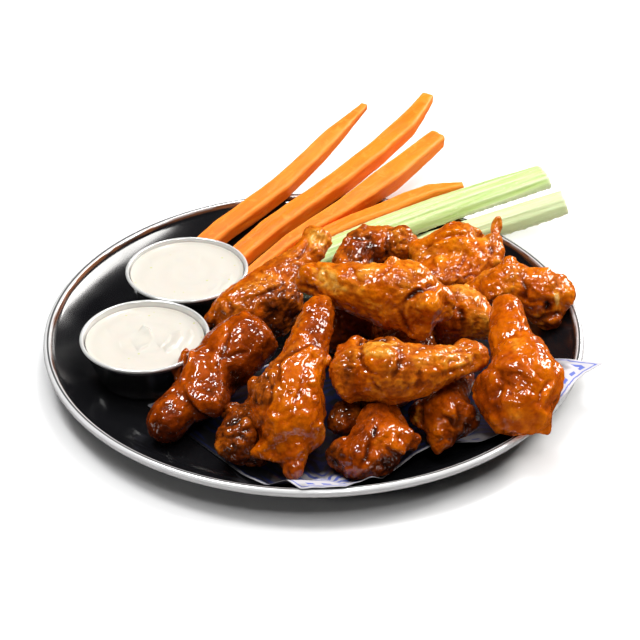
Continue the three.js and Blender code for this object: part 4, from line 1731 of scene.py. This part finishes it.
@dataclass
class Wing:
    """One fried and sauced wing piece: its skin's relief, its browned places, its painted shade and light,
    and its sauce.

    A pair named stray, or the height of a relief, holds how much it is and its lumps' size in millimetres.
    """

    node: str
    seed: int
    crag: float = 1.0  # how rough the crust is
    sauce: float = 0.6  # how thick the sauce lies
    tone: float = 0.52  # how light it is, from 0 to 1
    nubs: tuple[Nub, ...] = ()
    strokes: tuple[Stroke, ...] = ()
    patches: tuple[Patch, ...] = ()
    voxel_mm: float = 0.6
    rounding: int = 36
    facing: Pair = (-0.25, 0.25)  # how squarely a face looks at the guest where what is drawn sets in
    stray: Pair = (1.0, 5.0)
    fine_stray: Pair = (0.5, 2.2)
    sauce_stray: Pair = (0.35, 13.0)
    sauce_uneven: float = 0.12  # how much of the strays is in the sauce
    tone_stray: Pair = (0.10, 17.0)
    tone_uneven: float = 0.09  # how much of the strays is in the tone, half of it under thick sauce
    skin_mm: float = 0.35  # how far the skin lies over the solid
    swell_mm: Pair = (0.8, 14.0)
    lumps_mm: tuple[Pair, ...] = ((0.50, 9.0), (0.42, 5.4))
    grain_mm: float = 0.22  # height of the wrinkles along it
    wrinkle_mm: float = 2.6  # width of a wrinkle
    wrinkle_share: float = 0.25  # how much a wrinkle is drawn out, as 1 over its length
    wrinkled: Pair = (1.2, 0.6)  # how much of their height they have, bare and under thick sauce
    blister_mm: float = 3.1
    blister_heights: Pair = (0.05, 0.30)  # what a blister has everywhere, and what bare skin adds
    grit_mm: Pair = (0.16, 1.9)
    sauce_fills: float = 0.85  # how much thick sauce fills the finer crust
    fold_shade: float = 0.15  # how much painted shade darkens a crease and the skin under a flap
    relief_rounds: int = 14  # of averaging, to tell how far a place stands out
    relief_light_and_shade: float = 0.30  # painted light and shade: how much lighter a place is per millimetre that it stands out
    relief_most: Pair = (-0.30, 0.2)
    relief_under_sauce: float = 0.45  # how much of that thick sauce hides

    def build(self) -> None:
        """Models the skin on a copy of the solid and dresses it."""
        piece = fleshed(self.node, f"{self.node}_skin", self.voxel_mm, self.nubs)
        skin = Skin(piece.data)
        skin.relax(self.rounding)
        grit = Grit(self.seed)
        seen = VIEW.pixels(skin.points)
        faces_eye = smoothstep(*self.facing, VIEW.facing(skin.points, normals_of(skin.mesh)))
        stray = grit.scaled(skin.points, *self.stray) + grit.scaled(skin.points, *self.fine_stray)
        sauce = self.sauce + grit.scaled(skin.points, *self.sauce_stray) + self.sauce_uneven * stray
        tone = self.tone + grit.scaled(skin.points, *self.tone_stray)
        tone = tone + self.tone_uneven * stray * (1.0 - 0.5 * sauce)
        for patch in self.patches:
            share = patch.weight(seen, stray) * faces_eye
            tone = tone + patch.tone * share
            sauce = sauce + patch.sauce * share
        sauce = np.clip(sauce, 0.0, 1.0)
        skin.push(self.skin_mm + grit.scaled(skin.points, *self.swell_mm))
        if self.strokes:
            drawn = sum(stroke.relief(seen) for stroke in self.strokes)
            skin.push(skin.around(drawn * faces_eye, 1))
            # painted shade: creases and the skin under flaps are darkened in the tone
            painted_shade = sum(stroke.shade(seen) for stroke in self.strokes)
            tone = tone - self.fold_shade * faces_eye * painted_shade
        self.crust(skin, grit, sauce)
        # painted light on the bumps and painted shade in the hollows, less under thick sauce
        painted_light_and_shade = np.clip(self.relief_light_and_shade * skin.stand_out_mm(self.relief_rounds), *self.relief_most)
        tone = tone + painted_light_and_shade * (1.0 - self.relief_under_sauce * sauce)
        paint(skin.mesh, "tone", np.clip(tone, 0.0, 1.0))
        paint(skin.mesh, "sauce", sauce)
        stand_in(piece, self.node, WingFinish())

    def crust(self, skin: Skin, grit: Grit, sauce: np.ndarray) -> None:
        """Pushes up the crust, from its lumps to its grains. Thick sauce fills the finer ones.

        Args:
            skin: The wing's skin.
            grit: Its noise.
            sauce: How thick the sauce lies at each point.
        """
        bare = 1.0 - self.sauce_fills * sauce
        lumps = sum(height * grit.blisters(skin.points, size) for height, size in self.lumps_mm)
        skin.push(self.crag * lumps)
        long_way = drawn_out(own_axes(skin.points), self.wrinkle_share)
        wrinkles = grit.blisters(long_way, self.wrinkle_mm)
        most, least = self.wrinkled
        skin.push(-self.grain_mm * (most + (least - most) * sauce) * wrinkles)
        everywhere, added = self.blister_heights
        blisters = (everywhere + added * bare) * grit.blisters(skin.points, self.blister_mm)
        grains = grit.scaled(skin.points, *self.grit_mm) * bare ** 2
        skin.push(self.crag * (blisters + grains))


# ---- studio --------------------------------------------------------------------------------------


@dataclass(frozen=True)
class Panel:
    """A soft rectangular light that faces the middle of the dish."""

    name: str
    way: Triple
    distance: float
    size: Pair
    radiance: float
    colour: Colour = (1.0, 1.0, 1.0)
    turn: float = 0.0  # degrees, about the way it faces
    mirrored: bool = True  # whether glossy surfaces show it

    def build(self) -> None:
        """Makes the light."""
        data = bpy.data.lights.new(self.name, "AREA")
        data.shape = "RECTANGLE"
        data.size, data.size_y = self.size
        data.energy = self.radiance * math.pi * self.size[0] * self.size[1]
        data.color = self.colour
        lamp = bpy.data.objects.new(self.name, data)
        bpy.context.scene.collection.objects.link(lamp)
        way = Vector(self.way).normalized()
        spin = Quaternion((0.0, 0.0, 1.0), math.radians(self.turn))
        lamp.location = way * self.distance
        lamp.visible_glossy = self.mirrored
        lamp.rotation_mode = "QUATERNION"
        lamp.rotation_quaternion = way.to_track_quat("Z", "Y") @ spin


@dataclass
class Studio:
    """The floor, the lights and the way that light is shown."""

    floor_m: float = 6.0
    floor_segments: int = 8
    haze: Colour = (0.05, 0.05, 0.05)  # light that comes from all round
    panels: tuple[Panel, ...] = (
        Panel("overhead", (0.0, 0.02, 1.0), 1.5, (1.7, 1.6), 2.5, mirrored=False),
        Panel("key", (0.69, 0.44, 0.575), 1.3, (1.35, 0.36), 13.0, (1.0, 0.98, 0.95), turn=-45.0),
        Panel("top", (-0.32, 0.15, 1.0), 1.4, (0.36, 0.36), 23.0),
        Panel("crest", (0.1, 0.45, 0.95), 1.4, (0.22, 0.22), 26.0),
        Panel("fill", (-0.75, -0.8, 0.6), 1.5, (0.2, 0.2), 15.0, mirrored=False),
        Panel("spark", (0.12, -0.5, 0.85), 1.5, (0.2, 0.2), 24.0),
    )

    def build(self) -> None:
        """Makes the floor, the lights and the world."""
        segments = self.floor_segments
        work = bmesh.new()
        bmesh.ops.create_grid(work, x_segments=segments, y_segments=segments, size=self.floor_m / 2)
        mesh = bpy.data.meshes.new("floor")
        work.to_mesh(mesh)
        work.free()
        floor = link("floor", mesh)
        floor.visible_glossy = False
        FloorFinish().dress(floor)
        for panel in self.panels:
            panel.build()
        world = bpy.data.worlds.new("studio")
        world.use_nodes = True
        world.node_tree.nodes["Background"].inputs["Color"].default_value = (*self.haze, 1.0)
        world.cycles_visibility.glossy = False
        bpy.context.scene.world = world
        bpy.context.scene.view_settings.view_transform = "Standard"


# ---- the platter ---------------------------------------------------------------------------------


# A stroke has its width and height in millimetres and the spots that it passes. A nub has its spot and its
# half sizes in millimetres. A patch has its centre and its half sizes in the view's pixels.

# Dark patches in hollows, creases and under lobes are painted shade; the marked light ones are painted
# highlights.
WINGS = (
    Wing("wing_top", 5, tone=0.59, sauce=0.6, nubs=(
        Nub((450, 300), (2.2, 4.5, 3.0)),
        Nub((392, 260), (3.5, 1.8, 3.0), turn=-10),
    ), strokes=(
        knob(5.5, 1.0, (306, 272)),
        crease(1.4, 1.6, (297, 284), (306, 286), (314, 289), (322, 297)),
        crease(1.4, 1.0, (313, 261), (318, 270), (316, 280)),
        ridge(2.2, 0.9, (316, 263), (330, 272), (345, 280), (354, 285)),
        crease(1.6, 0.9, (352, 268), (356, 277), (362, 285)),
        flap(1.8, 1.1, (398, 262), (388, 273), (378, 281), (365, 283), (356, 292)),
        ridge(2.6, 0.9, (392, 263), (410, 266), (426, 276), (438, 286), (447, 296)),
        knob(7.6, 2.2, (430, 303)),
        crease(1.5, 2.0, (400, 308), (408, 298), (418, 290), (430, 287), (438, 291)),
        ridge(2.0, 1.3, (436, 289), (446, 296), (452, 305), (449, 313), (438, 319), (424, 320)),
        crease(1.4, 1.4, (399, 308), (404, 320), (409, 334)),
        dome(8.0, 1.4, (385, 322)),
        dome(6.0, 1.0, (424, 332)),
    ), patches=(
        Patch((328, 280), (20, 11), tone=0.26, sauce=-0.4, turn=38),
        Patch((372, 271), (16, 7), tone=0.14, sauce=-0.2, turn=-15),
        Patch((376, 306), (17, 6), tone=0.10, sauce=-0.2, turn=12),
        Patch((384, 315), (8, 5), tone=0.12),
        Patch((402, 265), (14, 7), tone=0.10),
        # painted shade in the crease by the knob
        Patch((300, 292), (8, 6), tone=-0.10, sauce=-0.3),
        Patch((430, 303), (14, 12), tone=0.06, sauce=-0.1),
        # painted shade in the crease above the knob
        Patch((413, 294), (12, 5), tone=-0.18, turn=-30),
    )),
    Wing("wing_middle", 11, tone=0.52, sauce=0.5, grain_mm=0.26, nubs=(
        Nub((356, 341), (3.0, 2.2, 3.0)),
        Nub((466, 345), (6.0, 2.4, 3.5), turn=4),
        Nub((482, 360), (2.2, 2.6, 2.6)),
    ), strokes=(
        ridge(2.3, 2.0, (358, 346), (365, 339), (378, 335), (390, 338), (397, 347)),
        crease(1.1, 1.6, (362, 345), (370, 341), (384, 341), (393, 346)),
        knob(8.6, 2.4, (376, 357), (384, 357)),
        crease(1.2, 1.0, (361, 350), (360, 360), (366, 369), (378, 374)),
        knob(4.2, 1.2, (351, 347), (353, 352)),
        crease(1.0, 1.2, (360, 341), (361, 350)),
        crease(1.8, 0.9, (398, 349), (401, 360), (397, 372), (390, 380)),
        knob(2.6, 0.8, (401, 373)),
        crease(1.0, 1.0, (371, 377), (375, 385), (382, 392)),
        dome(5.0, 0.8, (362, 388)),
        crease(1.6, 0.6, (421, 370), (420, 380), (414, 388)),
        ridge(1.5, 0.7, (410, 361), (428, 357), (446, 358), (458, 354)),
        ridge(1.4, 0.8, (428, 374), (446, 368), (462, 364), (474, 362)),
        ridge(1.6, 1.0, (438, 384), (450, 375), (466, 371), (482, 364)),
        crease(1.2, 0.8, (444, 352), (462, 350), (476, 356)),
        knob(5.0, 1.0, (476, 350)),
    ), patches=(
        Patch((380, 352), (17, 11), tone=0.19, sauce=-0.35),
        Patch((357, 344), (6, 4), tone=0.16),
        Patch((448, 357), (32, 13), tone=0.14, sauce=-0.2, turn=-8),
        Patch((350, 382), (18, 18), tone=-0.05),
        # painted shade in the crease under the ring of skin
        Patch((383, 340), (14, 4), tone=-0.16),
        # painted shade in a hollow
        Patch((420, 380), (7, 8), tone=-0.12),
        Patch((415, 398), (30, 8), tone=0.05, sauce=0.3, turn=-20),
        # painted shade in a small hollow
        Patch((363, 357), (4, 5), tone=-0.14),
    )),
    Wing("wing_front_left", 23, tone=0.50, sauce=0.6, nubs=(
        Nub((254, 386), (2.6, 4.5, 4.0), turn=10),
        Nub((328, 361), (1.6, 2.4, 2.4)),
        Nub((259, 452), (4.8, 2.6, 3.0), turn=-25),
        Nub((293, 469), (4.5, 5.0, 4.5)),
    ), strokes=(
        knob(3.0, 0.9, (305, 306)),
        flap(
            1.5, 1.8, (328, 363), (322, 351), (311, 346), (302, 352), (289, 358), (282, 364), (281, 378),
            (284, 393)),
        knob(6.0, 0.9, (262, 392)),
        crease(1.2, 1.2, (267, 376), (272, 390), (270, 403), (262, 413)),
        ridge(2.2, 1.6, (271, 412), (277, 424), (275, 437), (266, 447), (258, 453)),
        crease(1.2, 1.2, (262, 416), (258, 430), (261, 443)),
        dome(6.0, 1.0, (286, 405)),
        dome(6.0, 1.2, (285, 432)),
        knob(4.2, 0.9, (296, 449)),
        knob(4.0, 0.9, (318, 428)),
        crease(1.2, 0.8, (303, 372), (300, 390), (292, 408)),
        dome(7.0, 1.2, (313, 378)),
        ridge(1.4, 0.6, (300, 392), (312, 400), (322, 402)),
    ), patches=(
        Patch((308, 385), (24, 36), tone=0.07, sauce=0.5),
        Patch((284, 430), (22, 22), tone=0.10, sauce=0.5),
        Patch((318, 320), (18, 24), tone=-0.09, sauce=0.2),
        Patch((261, 392), (13, 16), tone=-0.12, sauce=-0.4),
        Patch((258, 385), (6, 6), tone=0.06),
        Patch((325, 361), (5, 4), tone=0.20),
        Patch((290, 462), (16, 12), tone=-0.04),
    )),
    Wing("wing_right_rim", 31, tone=0.54, sauce=0.85, crag=0.9, grain_mm=0.16, nubs=(
        Nub((546, 428), (2.6, 3.4, 3.0)),
        Nub((559, 373), (1.8, 5.0, 3.5), turn=-10),
    ), strokes=(
        ridge(1.8, 0.9, (503, 297), (514, 304), (519, 314), (526, 324)),
        knob(3.2, 0.7, (519, 322)),
        crease(1.0, 0.8, (516, 316), (520, 326), (522, 332)),
        ridge(1.8, 0.9, (524, 334), (536, 342), (550, 353)),
        ridge(1.2, 0.5, (520, 341), (532, 350), (545, 358)),
        crease(1.6, 0.9, (494, 346), (506, 337), (518, 334)),
        knob(6.8, 1.6, (487, 382), (486, 398), (492, 415)),
        crease(2.0, 1.1, (499, 370), (503, 384), (498, 398), (500, 416), (507, 432)),
        knob(4.5, 1.0, (505, 402)),
        knob(4.0, 0.9, (527, 398)),
        ridge(1.4, 1.2, (557, 371), (552, 384), (544, 396), (541, 408), (545, 418)),
        ridge(1.2, 0.9, (562, 376), (557, 389), (551, 402)),
        crease(1.2, 0.9, (550, 380), (541, 392), (538, 404)),
        flap(1.6, 1.0, (492, 366), (505, 372), (520, 373), (533, 380)),
        ridge(1.6, 1.0, (534, 409), (544, 414), (543, 423), (535, 428)),
        knob(4.0, 0.8, (516, 414)),
        ridge(2.2, 0.9, (511, 436), (526, 439), (545, 434)),
    ), patches=(
        Patch((520, 347), (12, 9), tone=0.12, sauce=-0.3, turn=25),
        Patch((540, 365), (22, 20), tone=0.02, sauce=0.4, turn=30),
        # painted shade on the left lobe, which faces away from the key light
        Patch((486, 395), (12, 26), tone=-0.16, sauce=0.2),
        Patch((510, 375), (12, 9), tone=-0.10),
        Patch((515, 413), (10, 9), tone=0.08, sauce=-0.3),
        Patch((542, 392), (5, 5), tone=0.10),
        Patch((510, 428), (16, 8), tone=-0.06),
    )),
    Wing("wing_left", 47, tone=0.38, sauce=0.8, crag=0.7, grain_mm=0.12, nubs=(
        Nub((154, 419), (2.4, 3.2, 3.0), turn=20),
        Nub((245, 315), (3.2, 2.4, 3.0)),
        Nub((182, 366), (2.4, 9.5, 4.0), turn=16, sink_mm=4.0),
    ), strokes=(
        ridge(1.2, 1.0, (206, 333), (193, 347), (190, 362), (183, 376), (181, 388)),
        crease(1.2, 1.6, (187, 352), (186, 364), (180, 374)),
        ridge(2.5, 0.8, (243, 316), (255, 322), (268, 334), (277, 344)),
        crease(1.3, 1.0, (227, 322), (229, 335), (224, 352), (217, 366), (219, 380)),
        dome(6.0, 0.8, (240, 338)),
        crease(1.4, 1.0, (216, 356), (227, 358), (238, 353), (250, 352)),
        crease(3.0, 1.5, (231, 366), (238, 378), (234, 392)),
        ridge(3.0, 1.6, (228, 389), (220, 400), (210, 409)),
        flap(1.6, 3.0, (183, 384), (190, 400), (201, 410), (213, 415), (224, 410), (230, 394)),
        ridge(2.2, 0.6, (204, 399), (214, 392), (225, 389)),
        dome(8.0, 1.0, (170, 422)),
    ), patches=(
        Patch((210, 350), (22, 28), tone=0.04, sauce=0.3, turn=30),
        Patch((224, 333), (7, 14), tone=0.12, turn=20),
        Patch((172, 427), (26, 20), tone=-0.13),
        # painted shade in a recess
        Patch((238, 381), (14, 14), tone=-0.14),
        Patch((245, 345), (20, 18), tone=-0.04),
        Patch((245, 315), (5, 4), tone=0.15),
        # painted highlight along the left edge
        Patch((190, 366), (1.8, 20), tone=0.12, turn=15),
        # painted highlight along the upper edge
        Patch((262, 328), (14, 5), tone=0.14, turn=45),
    )),
    Wing("wing_back_left", 53, tone=0.52, sauce=0.5, crag=0.8, grain_mm=0.3, nubs=(
        Nub((318, 235), (4.2, 4.4, 4.2)),
        Nub((214, 316), (3.4, 7.0, 4.0), turn=35, sink_mm=3.0),
        Nub((272, 303), (10.0, 9.0, 8.0), sink_mm=7.0),
        Nub((286, 300), (9.0, 9.0, 8.0), sink_mm=6.0),
    ), strokes=(
        ridge(1.8, 1.2, (308, 248), (316, 250), (322, 256), (330, 262)),
        crease(1.3, 1.3, (290, 262), (300, 256), (306, 246), (309, 238)),
        ridge(1.2, 0.6, (238, 291), (255, 284), (272, 280)),
        ridge(1.2, 0.6, (245, 298), (262, 290), (282, 282)),
        crease(1.0, 0.7, (250, 302), (268, 292), (286, 284)),
        ridge(1.2, 0.9, (223, 298), (221, 306), (212, 318), (207, 328)),
        crease(1.4, 0.9, (226, 300), (232, 310), (230, 320)),
        knob(5.0, 0.8, (291, 278)),
    ), patches=(
        Patch((318, 238), (12, 12), tone=0.22, sauce=-0.4),
        Patch((262, 285), (22, 9), tone=0.10, sauce=-0.3, turn=-25),
        # painted shadow on the lower side
        Patch((284, 312), (26, 28), tone=-0.24, sauce=-0.5),
        Patch((225, 310), (15, 12), tone=-0.02),
    )),
    Wing("wing_back_right", 61, tone=0.60, sauce=0.6, grain_mm=0.26, nubs=(
        Nub((452, 225), (4.5, 1.8, 3.0), turn=-8),
        Nub((498, 224), (2.6, 5.0, 2.6), turn=5),
        Nub((484, 288), (4.2, 4.0, 4.2)),
    ), strokes=(
        ridge(1.2, 0.6, (418, 248), (432, 238), (450, 232), (468, 232), (482, 240)),
        crease(1.0, 0.6, (419, 252), (434, 242), (452, 236), (468, 236)),
        ridge(1.2, 0.6, (420, 256), (436, 246), (452, 240), (466, 240)),
        knob(4.5, 0.9, (462, 244)),
        knob(4.0, 1.4, (441, 262)),
        ridge(1.6, 1.0, (466, 263), (474, 263), (479, 256)),
        crease(1.4, 1.0, (455, 275), (462, 262), (468, 250)),
        ridge(2.5, 1.0, (473, 250), (480, 258), (488, 262)),
        knob(6.0, 1.4, (477, 284)),
        crease(1.3, 1.5, (462, 280), (470, 275), (482, 276)),
        knob(3.5, 1.0, (496, 262)),
        crease(1.6, 1.4, (488, 246), (493, 250), (490, 256)),
    ), patches=(
        Patch((450, 248), (30, 16), tone=0.06),
        Patch((441, 262), (5, 6), tone=0.18),
        Patch((495, 236), (8, 10), tone=-0.10),
        Patch((484, 241), (6, 4), tone=0.15),
        Patch((496, 262), (5, 5), tone=0.14),
        Patch((430, 272), (14, 8), tone=-0.06),
    )),
    Wing("wing_front", 71, tone=0.405, sauce=0.72, nubs=(
        Nub((411, 441), (4.0, 4.6, 4.0)),
    ), strokes=(
        knob(6.0, 1.4, (390, 428)),
        ridge(3.0, 1.4, (398, 426), (408, 438), (411, 448)),
        flap(1.6, 1.7, (384, 444), (392, 451), (400, 453), (409, 450)),
        crease(1.4, 1.4, (371, 437), (368, 447), (366, 458), (358, 468)),
        crease(1.0, 1.5, (375, 428), (374, 437)),
        ridge(2.5, 1.2, (378, 452), (372, 460), (364, 467), (355, 474)),
        knob(4.0, 1.0, (350, 472)),
        crease(1.3, 1.0, (345, 440), (356, 432), (364, 425)),
        knob(4.0, 0.8, (352, 452)),
    ), patches=(
        Patch((394, 430), (18, 20), tone=0.08, sauce=0.4),
        Patch((358, 440), (16, 20), tone=-0.04, sauce=0.3),
        Patch((335, 455), (10, 12), tone=-0.18, sauce=-0.3),
        Patch((392, 463), (12, 9), tone=-0.24, sauce=-0.3),
        # painted shade in the crease
        Patch((375, 433), (4, 6), tone=-0.20),
    )),
    Wing("wing_front_right", 83, tone=0.44, sauce=0.68, nubs=(
        Nub((438, 446), (2.6, 4.4, 3.0)),
    ), strokes=(
        knob(4.5, 1.0, (447, 413)),
        crease(1.2, 1.1, (455, 430), (451, 420), (444, 416), (438, 421)),
        dome(7.0, 1.2, (437, 427)),
        crease(1.3, 1.4, (424, 402), (421, 416), (424, 430)),
        ridge(1.6, 1.0, (427, 399), (420, 409), (415, 422)),
        knob(4.0, 1.0, (470, 412)),
        knob(3.5, 0.8, (462, 430)),
        crease(1.4, 1.2, (457, 404), (460, 418), (456, 432)),
    ), patches=(
        Patch((437, 422), (14, 18), tone=0.08, sauce=0.4),
        Patch((418, 416), (4, 9), tone=0.24, sauce=-0.5, turn=25),
        Patch((468, 415), (10, 14), tone=-0.08),
        Patch((455, 437), (10, 8), tone=-0.12),
        Patch((411, 410), (6, 10), tone=-0.20),
    )),
    Wing("wing_right", 97, tone=0.58, sauce=0.6, crag=1.2, nubs=(
        Nub((509, 263), (3.6, 3.8, 3.6)),
        Nub((567, 297), (3.6, 6.0, 4.0)),
    ), strokes=(
        knob(4.5, 1.2, (509, 264)),
        knob(4.0, 1.1, (544, 272)),
        knob(3.5, 1.0, (550, 281)),
        knob(6.0, 1.2, (563, 295)),
        knob(5.0, 1.2, (512, 292)),
        knob(5.0, 1.0, (537, 310)),
        crease(1.8, 2.0, (545, 299), (549, 305), (546, 312)),
        dome(6.0, 1.0, (556, 323)),
        crease(1.5, 1.5, (535, 322), (548, 316), (562, 312)),
        crease(1.4, 1.2, (522, 278), (526, 290), (524, 302)),
        ridge(1.6, 0.9, (531, 280), (536, 290), (538, 300)),
    ), patches=(
        Patch((555.5, 299), (2.5, 8), tone=0.40, sauce=-0.6, turn=-8),
        Patch((513, 287), (6, 3), tone=0.16),
        # painted shade in the crease
        Patch((525, 290), (5, 9), tone=-0.14),
        Patch((555, 324), (14, 10), tone=-0.16),
        # painted shade in a hollow
        Patch((548, 306), (6, 5), tone=-0.30),
    )),
    Wing("wing_under_top", 101, tone=0.63, sauce=0.5, strokes=(
        ridge(3.0, 1.6, (452, 283), (465, 290), (478, 302), (485, 318), (486, 332)),
        crease(2.2, 1.2, (450, 300), (460, 303), (462, 315), (464, 330)),
        ridge(3.5, 1.0, (466, 300), (473, 313), (476, 330)),
    ), patches=(
        # painted shade in the crease
        Patch((457, 318), (10, 14), tone=-0.25),
        Patch((465, 290), (16, 8), tone=0.08, sauce=-0.3, turn=35),
        Patch((484, 322), (5, 10), tone=0.10, sauce=-0.3),
        Patch((455, 298), (5, 5), tone=-0.15),
    )),
    Wing("wing_back", 113, tone=0.46, sauce=0.5, nubs=(
        Nub((364, 229), (3.4, 2.6, 3.0)),
        Nub((347, 243), (2.4, 3.6, 3.0)),
        Nub((402, 232), (6.0, 4.0, 5.0)),
        Nub((378, 249), (8.0, 8.5, 6.0), sink_mm=5.0),
        Nub((372, 238), (6.0, 5.0, 5.0), sink_mm=4.0),
    ), strokes=(
        knob(6.0, 1.2, (357, 250)),
        knob(5.0, 1.0, (365, 232)),
        knob(5.0, 1.2, (382, 245)),
        crease(1.3, 1.2, (386, 236), (385, 248), (388, 262)),
        crease(1.3, 1.2, (350, 236), (362, 240), (372, 238)),
        knob(5.0, 1.0, (401, 236)),
        ridge(1.6, 0.8, (393, 230), (400, 240), (398, 250)),
        crease(1.2, 1.0, (386, 228), (388, 240), (392, 255)),
    ), patches=(
        Patch((358, 250), (16, 14), tone=-0.14),
        Patch((403, 238), (15, 12), tone=0.12, sauce=-0.3),
        Patch((374, 252), (14, 12), tone=-0.14),
    )),
    Wing("wing_low_left", 127, tone=0.29, sauce=0.4, crag=1.4, nubs=(
        Nub((232, 409), (4.0, 3.0, 4.0)),
    ), strokes=(
        knob(4.0, 1.0, (237, 410)),
        crease(1.5, 1.4, (225, 425), (238, 420), (250, 412)),
        knob(6.0, 1.2, (247, 428)),
        crease(1.2, 1.2, (242, 431), (250, 429)),
        ridge(1.6, 1.0, (218, 438), (221, 450), (220, 460)),
        crease(1.4, 1.0, (226, 440), (240, 436), (252, 445)),
    ), patches=(
        Patch((220, 447), (4, 9), tone=0.18),
        Patch((236, 411), (6, 6), tone=0.10),
        Patch((245, 440), (8, 5), tone=0.10),
        Patch((240, 458), (20, 8), tone=-0.08),
    )),
    Wing("wing_low_middle", 131, tone=0.34, sauce=0.4),
    Wing("wing_heart", 137, tone=0.30, sauce=0.6, strokes=(
        ridge(2.0, 1.2, (344, 312), (347, 324), (356, 334)),
    )),
)

CUPS = (
    DipCup("front", (-86.0, -21.5), 3.4, 0.5, 7, strokes=(
        flap(1.1, 1.7, (138, 352), (148, 346), (153, 338), (150, 330), (143, 325)),
        flap(0.9, 1.4, (166, 353), (177, 347), (183, 338), (181, 330)),
        flap(0.8, 1.1, (181, 351), (189, 344), (193, 336), (191, 329)),
        flap(0.8, 0.9, (160, 348), (168, 342), (171, 335)),
        ridge(3.0, 0.5, (108, 330), (125, 320), (145, 318)),
        crease(2.5, 0.5, (120, 345), (135, 340), (146, 338)),
    )),
    DipCup("back", (-68.3, 42.8), 2.6, 0.3, 9, strokes=(
        ridge(2.5, 0.5, (150, 262), (175, 256), (200, 260)),
        flap(0.9, 0.7, (221, 291), (231, 283), (232, 274)),
        flap(0.8, 0.5, (210, 293), (218, 288), (221, 280)),
    )),
)

STICKS = (
    CarrotStick("carrot_left", 201),
    CarrotStick("carrot_middle", 203),
    CarrotStick("carrot_right", 205),
    CarrotStick("carrot_low", 207),
    CeleryStick("celery_front", 211),
    CeleryStick("celery_back", 213, rib_height_mm=0.03, cut=0.55),
)


def corners(box: tuple[Vector, Vector]) -> list[list[float]]:
    """A box as plain lists."""
    return [list(corner) for corner in box]


def main() -> None:
    """Builds the platter and the studio round it."""
    logging.basicConfig(level=logging.INFO, format="%(message)s")
    VIEW.build()
    Studio().build()
    makers: list[tuple[str, Callable[[], None]]] = [("dish", Dish().build), ("liner", Liner().build)]
    makers += [(f"cup {cup.side}", cup.build) for cup in CUPS]
    makers += [(stick.node, stick.build) for stick in STICKS]
    makers += [(wing.node, wing.build) for wing in WINGS]
    for name, make in makers:
        make()
        LOG.info("made %s", name)


if __name__ == "__main__":
    main()
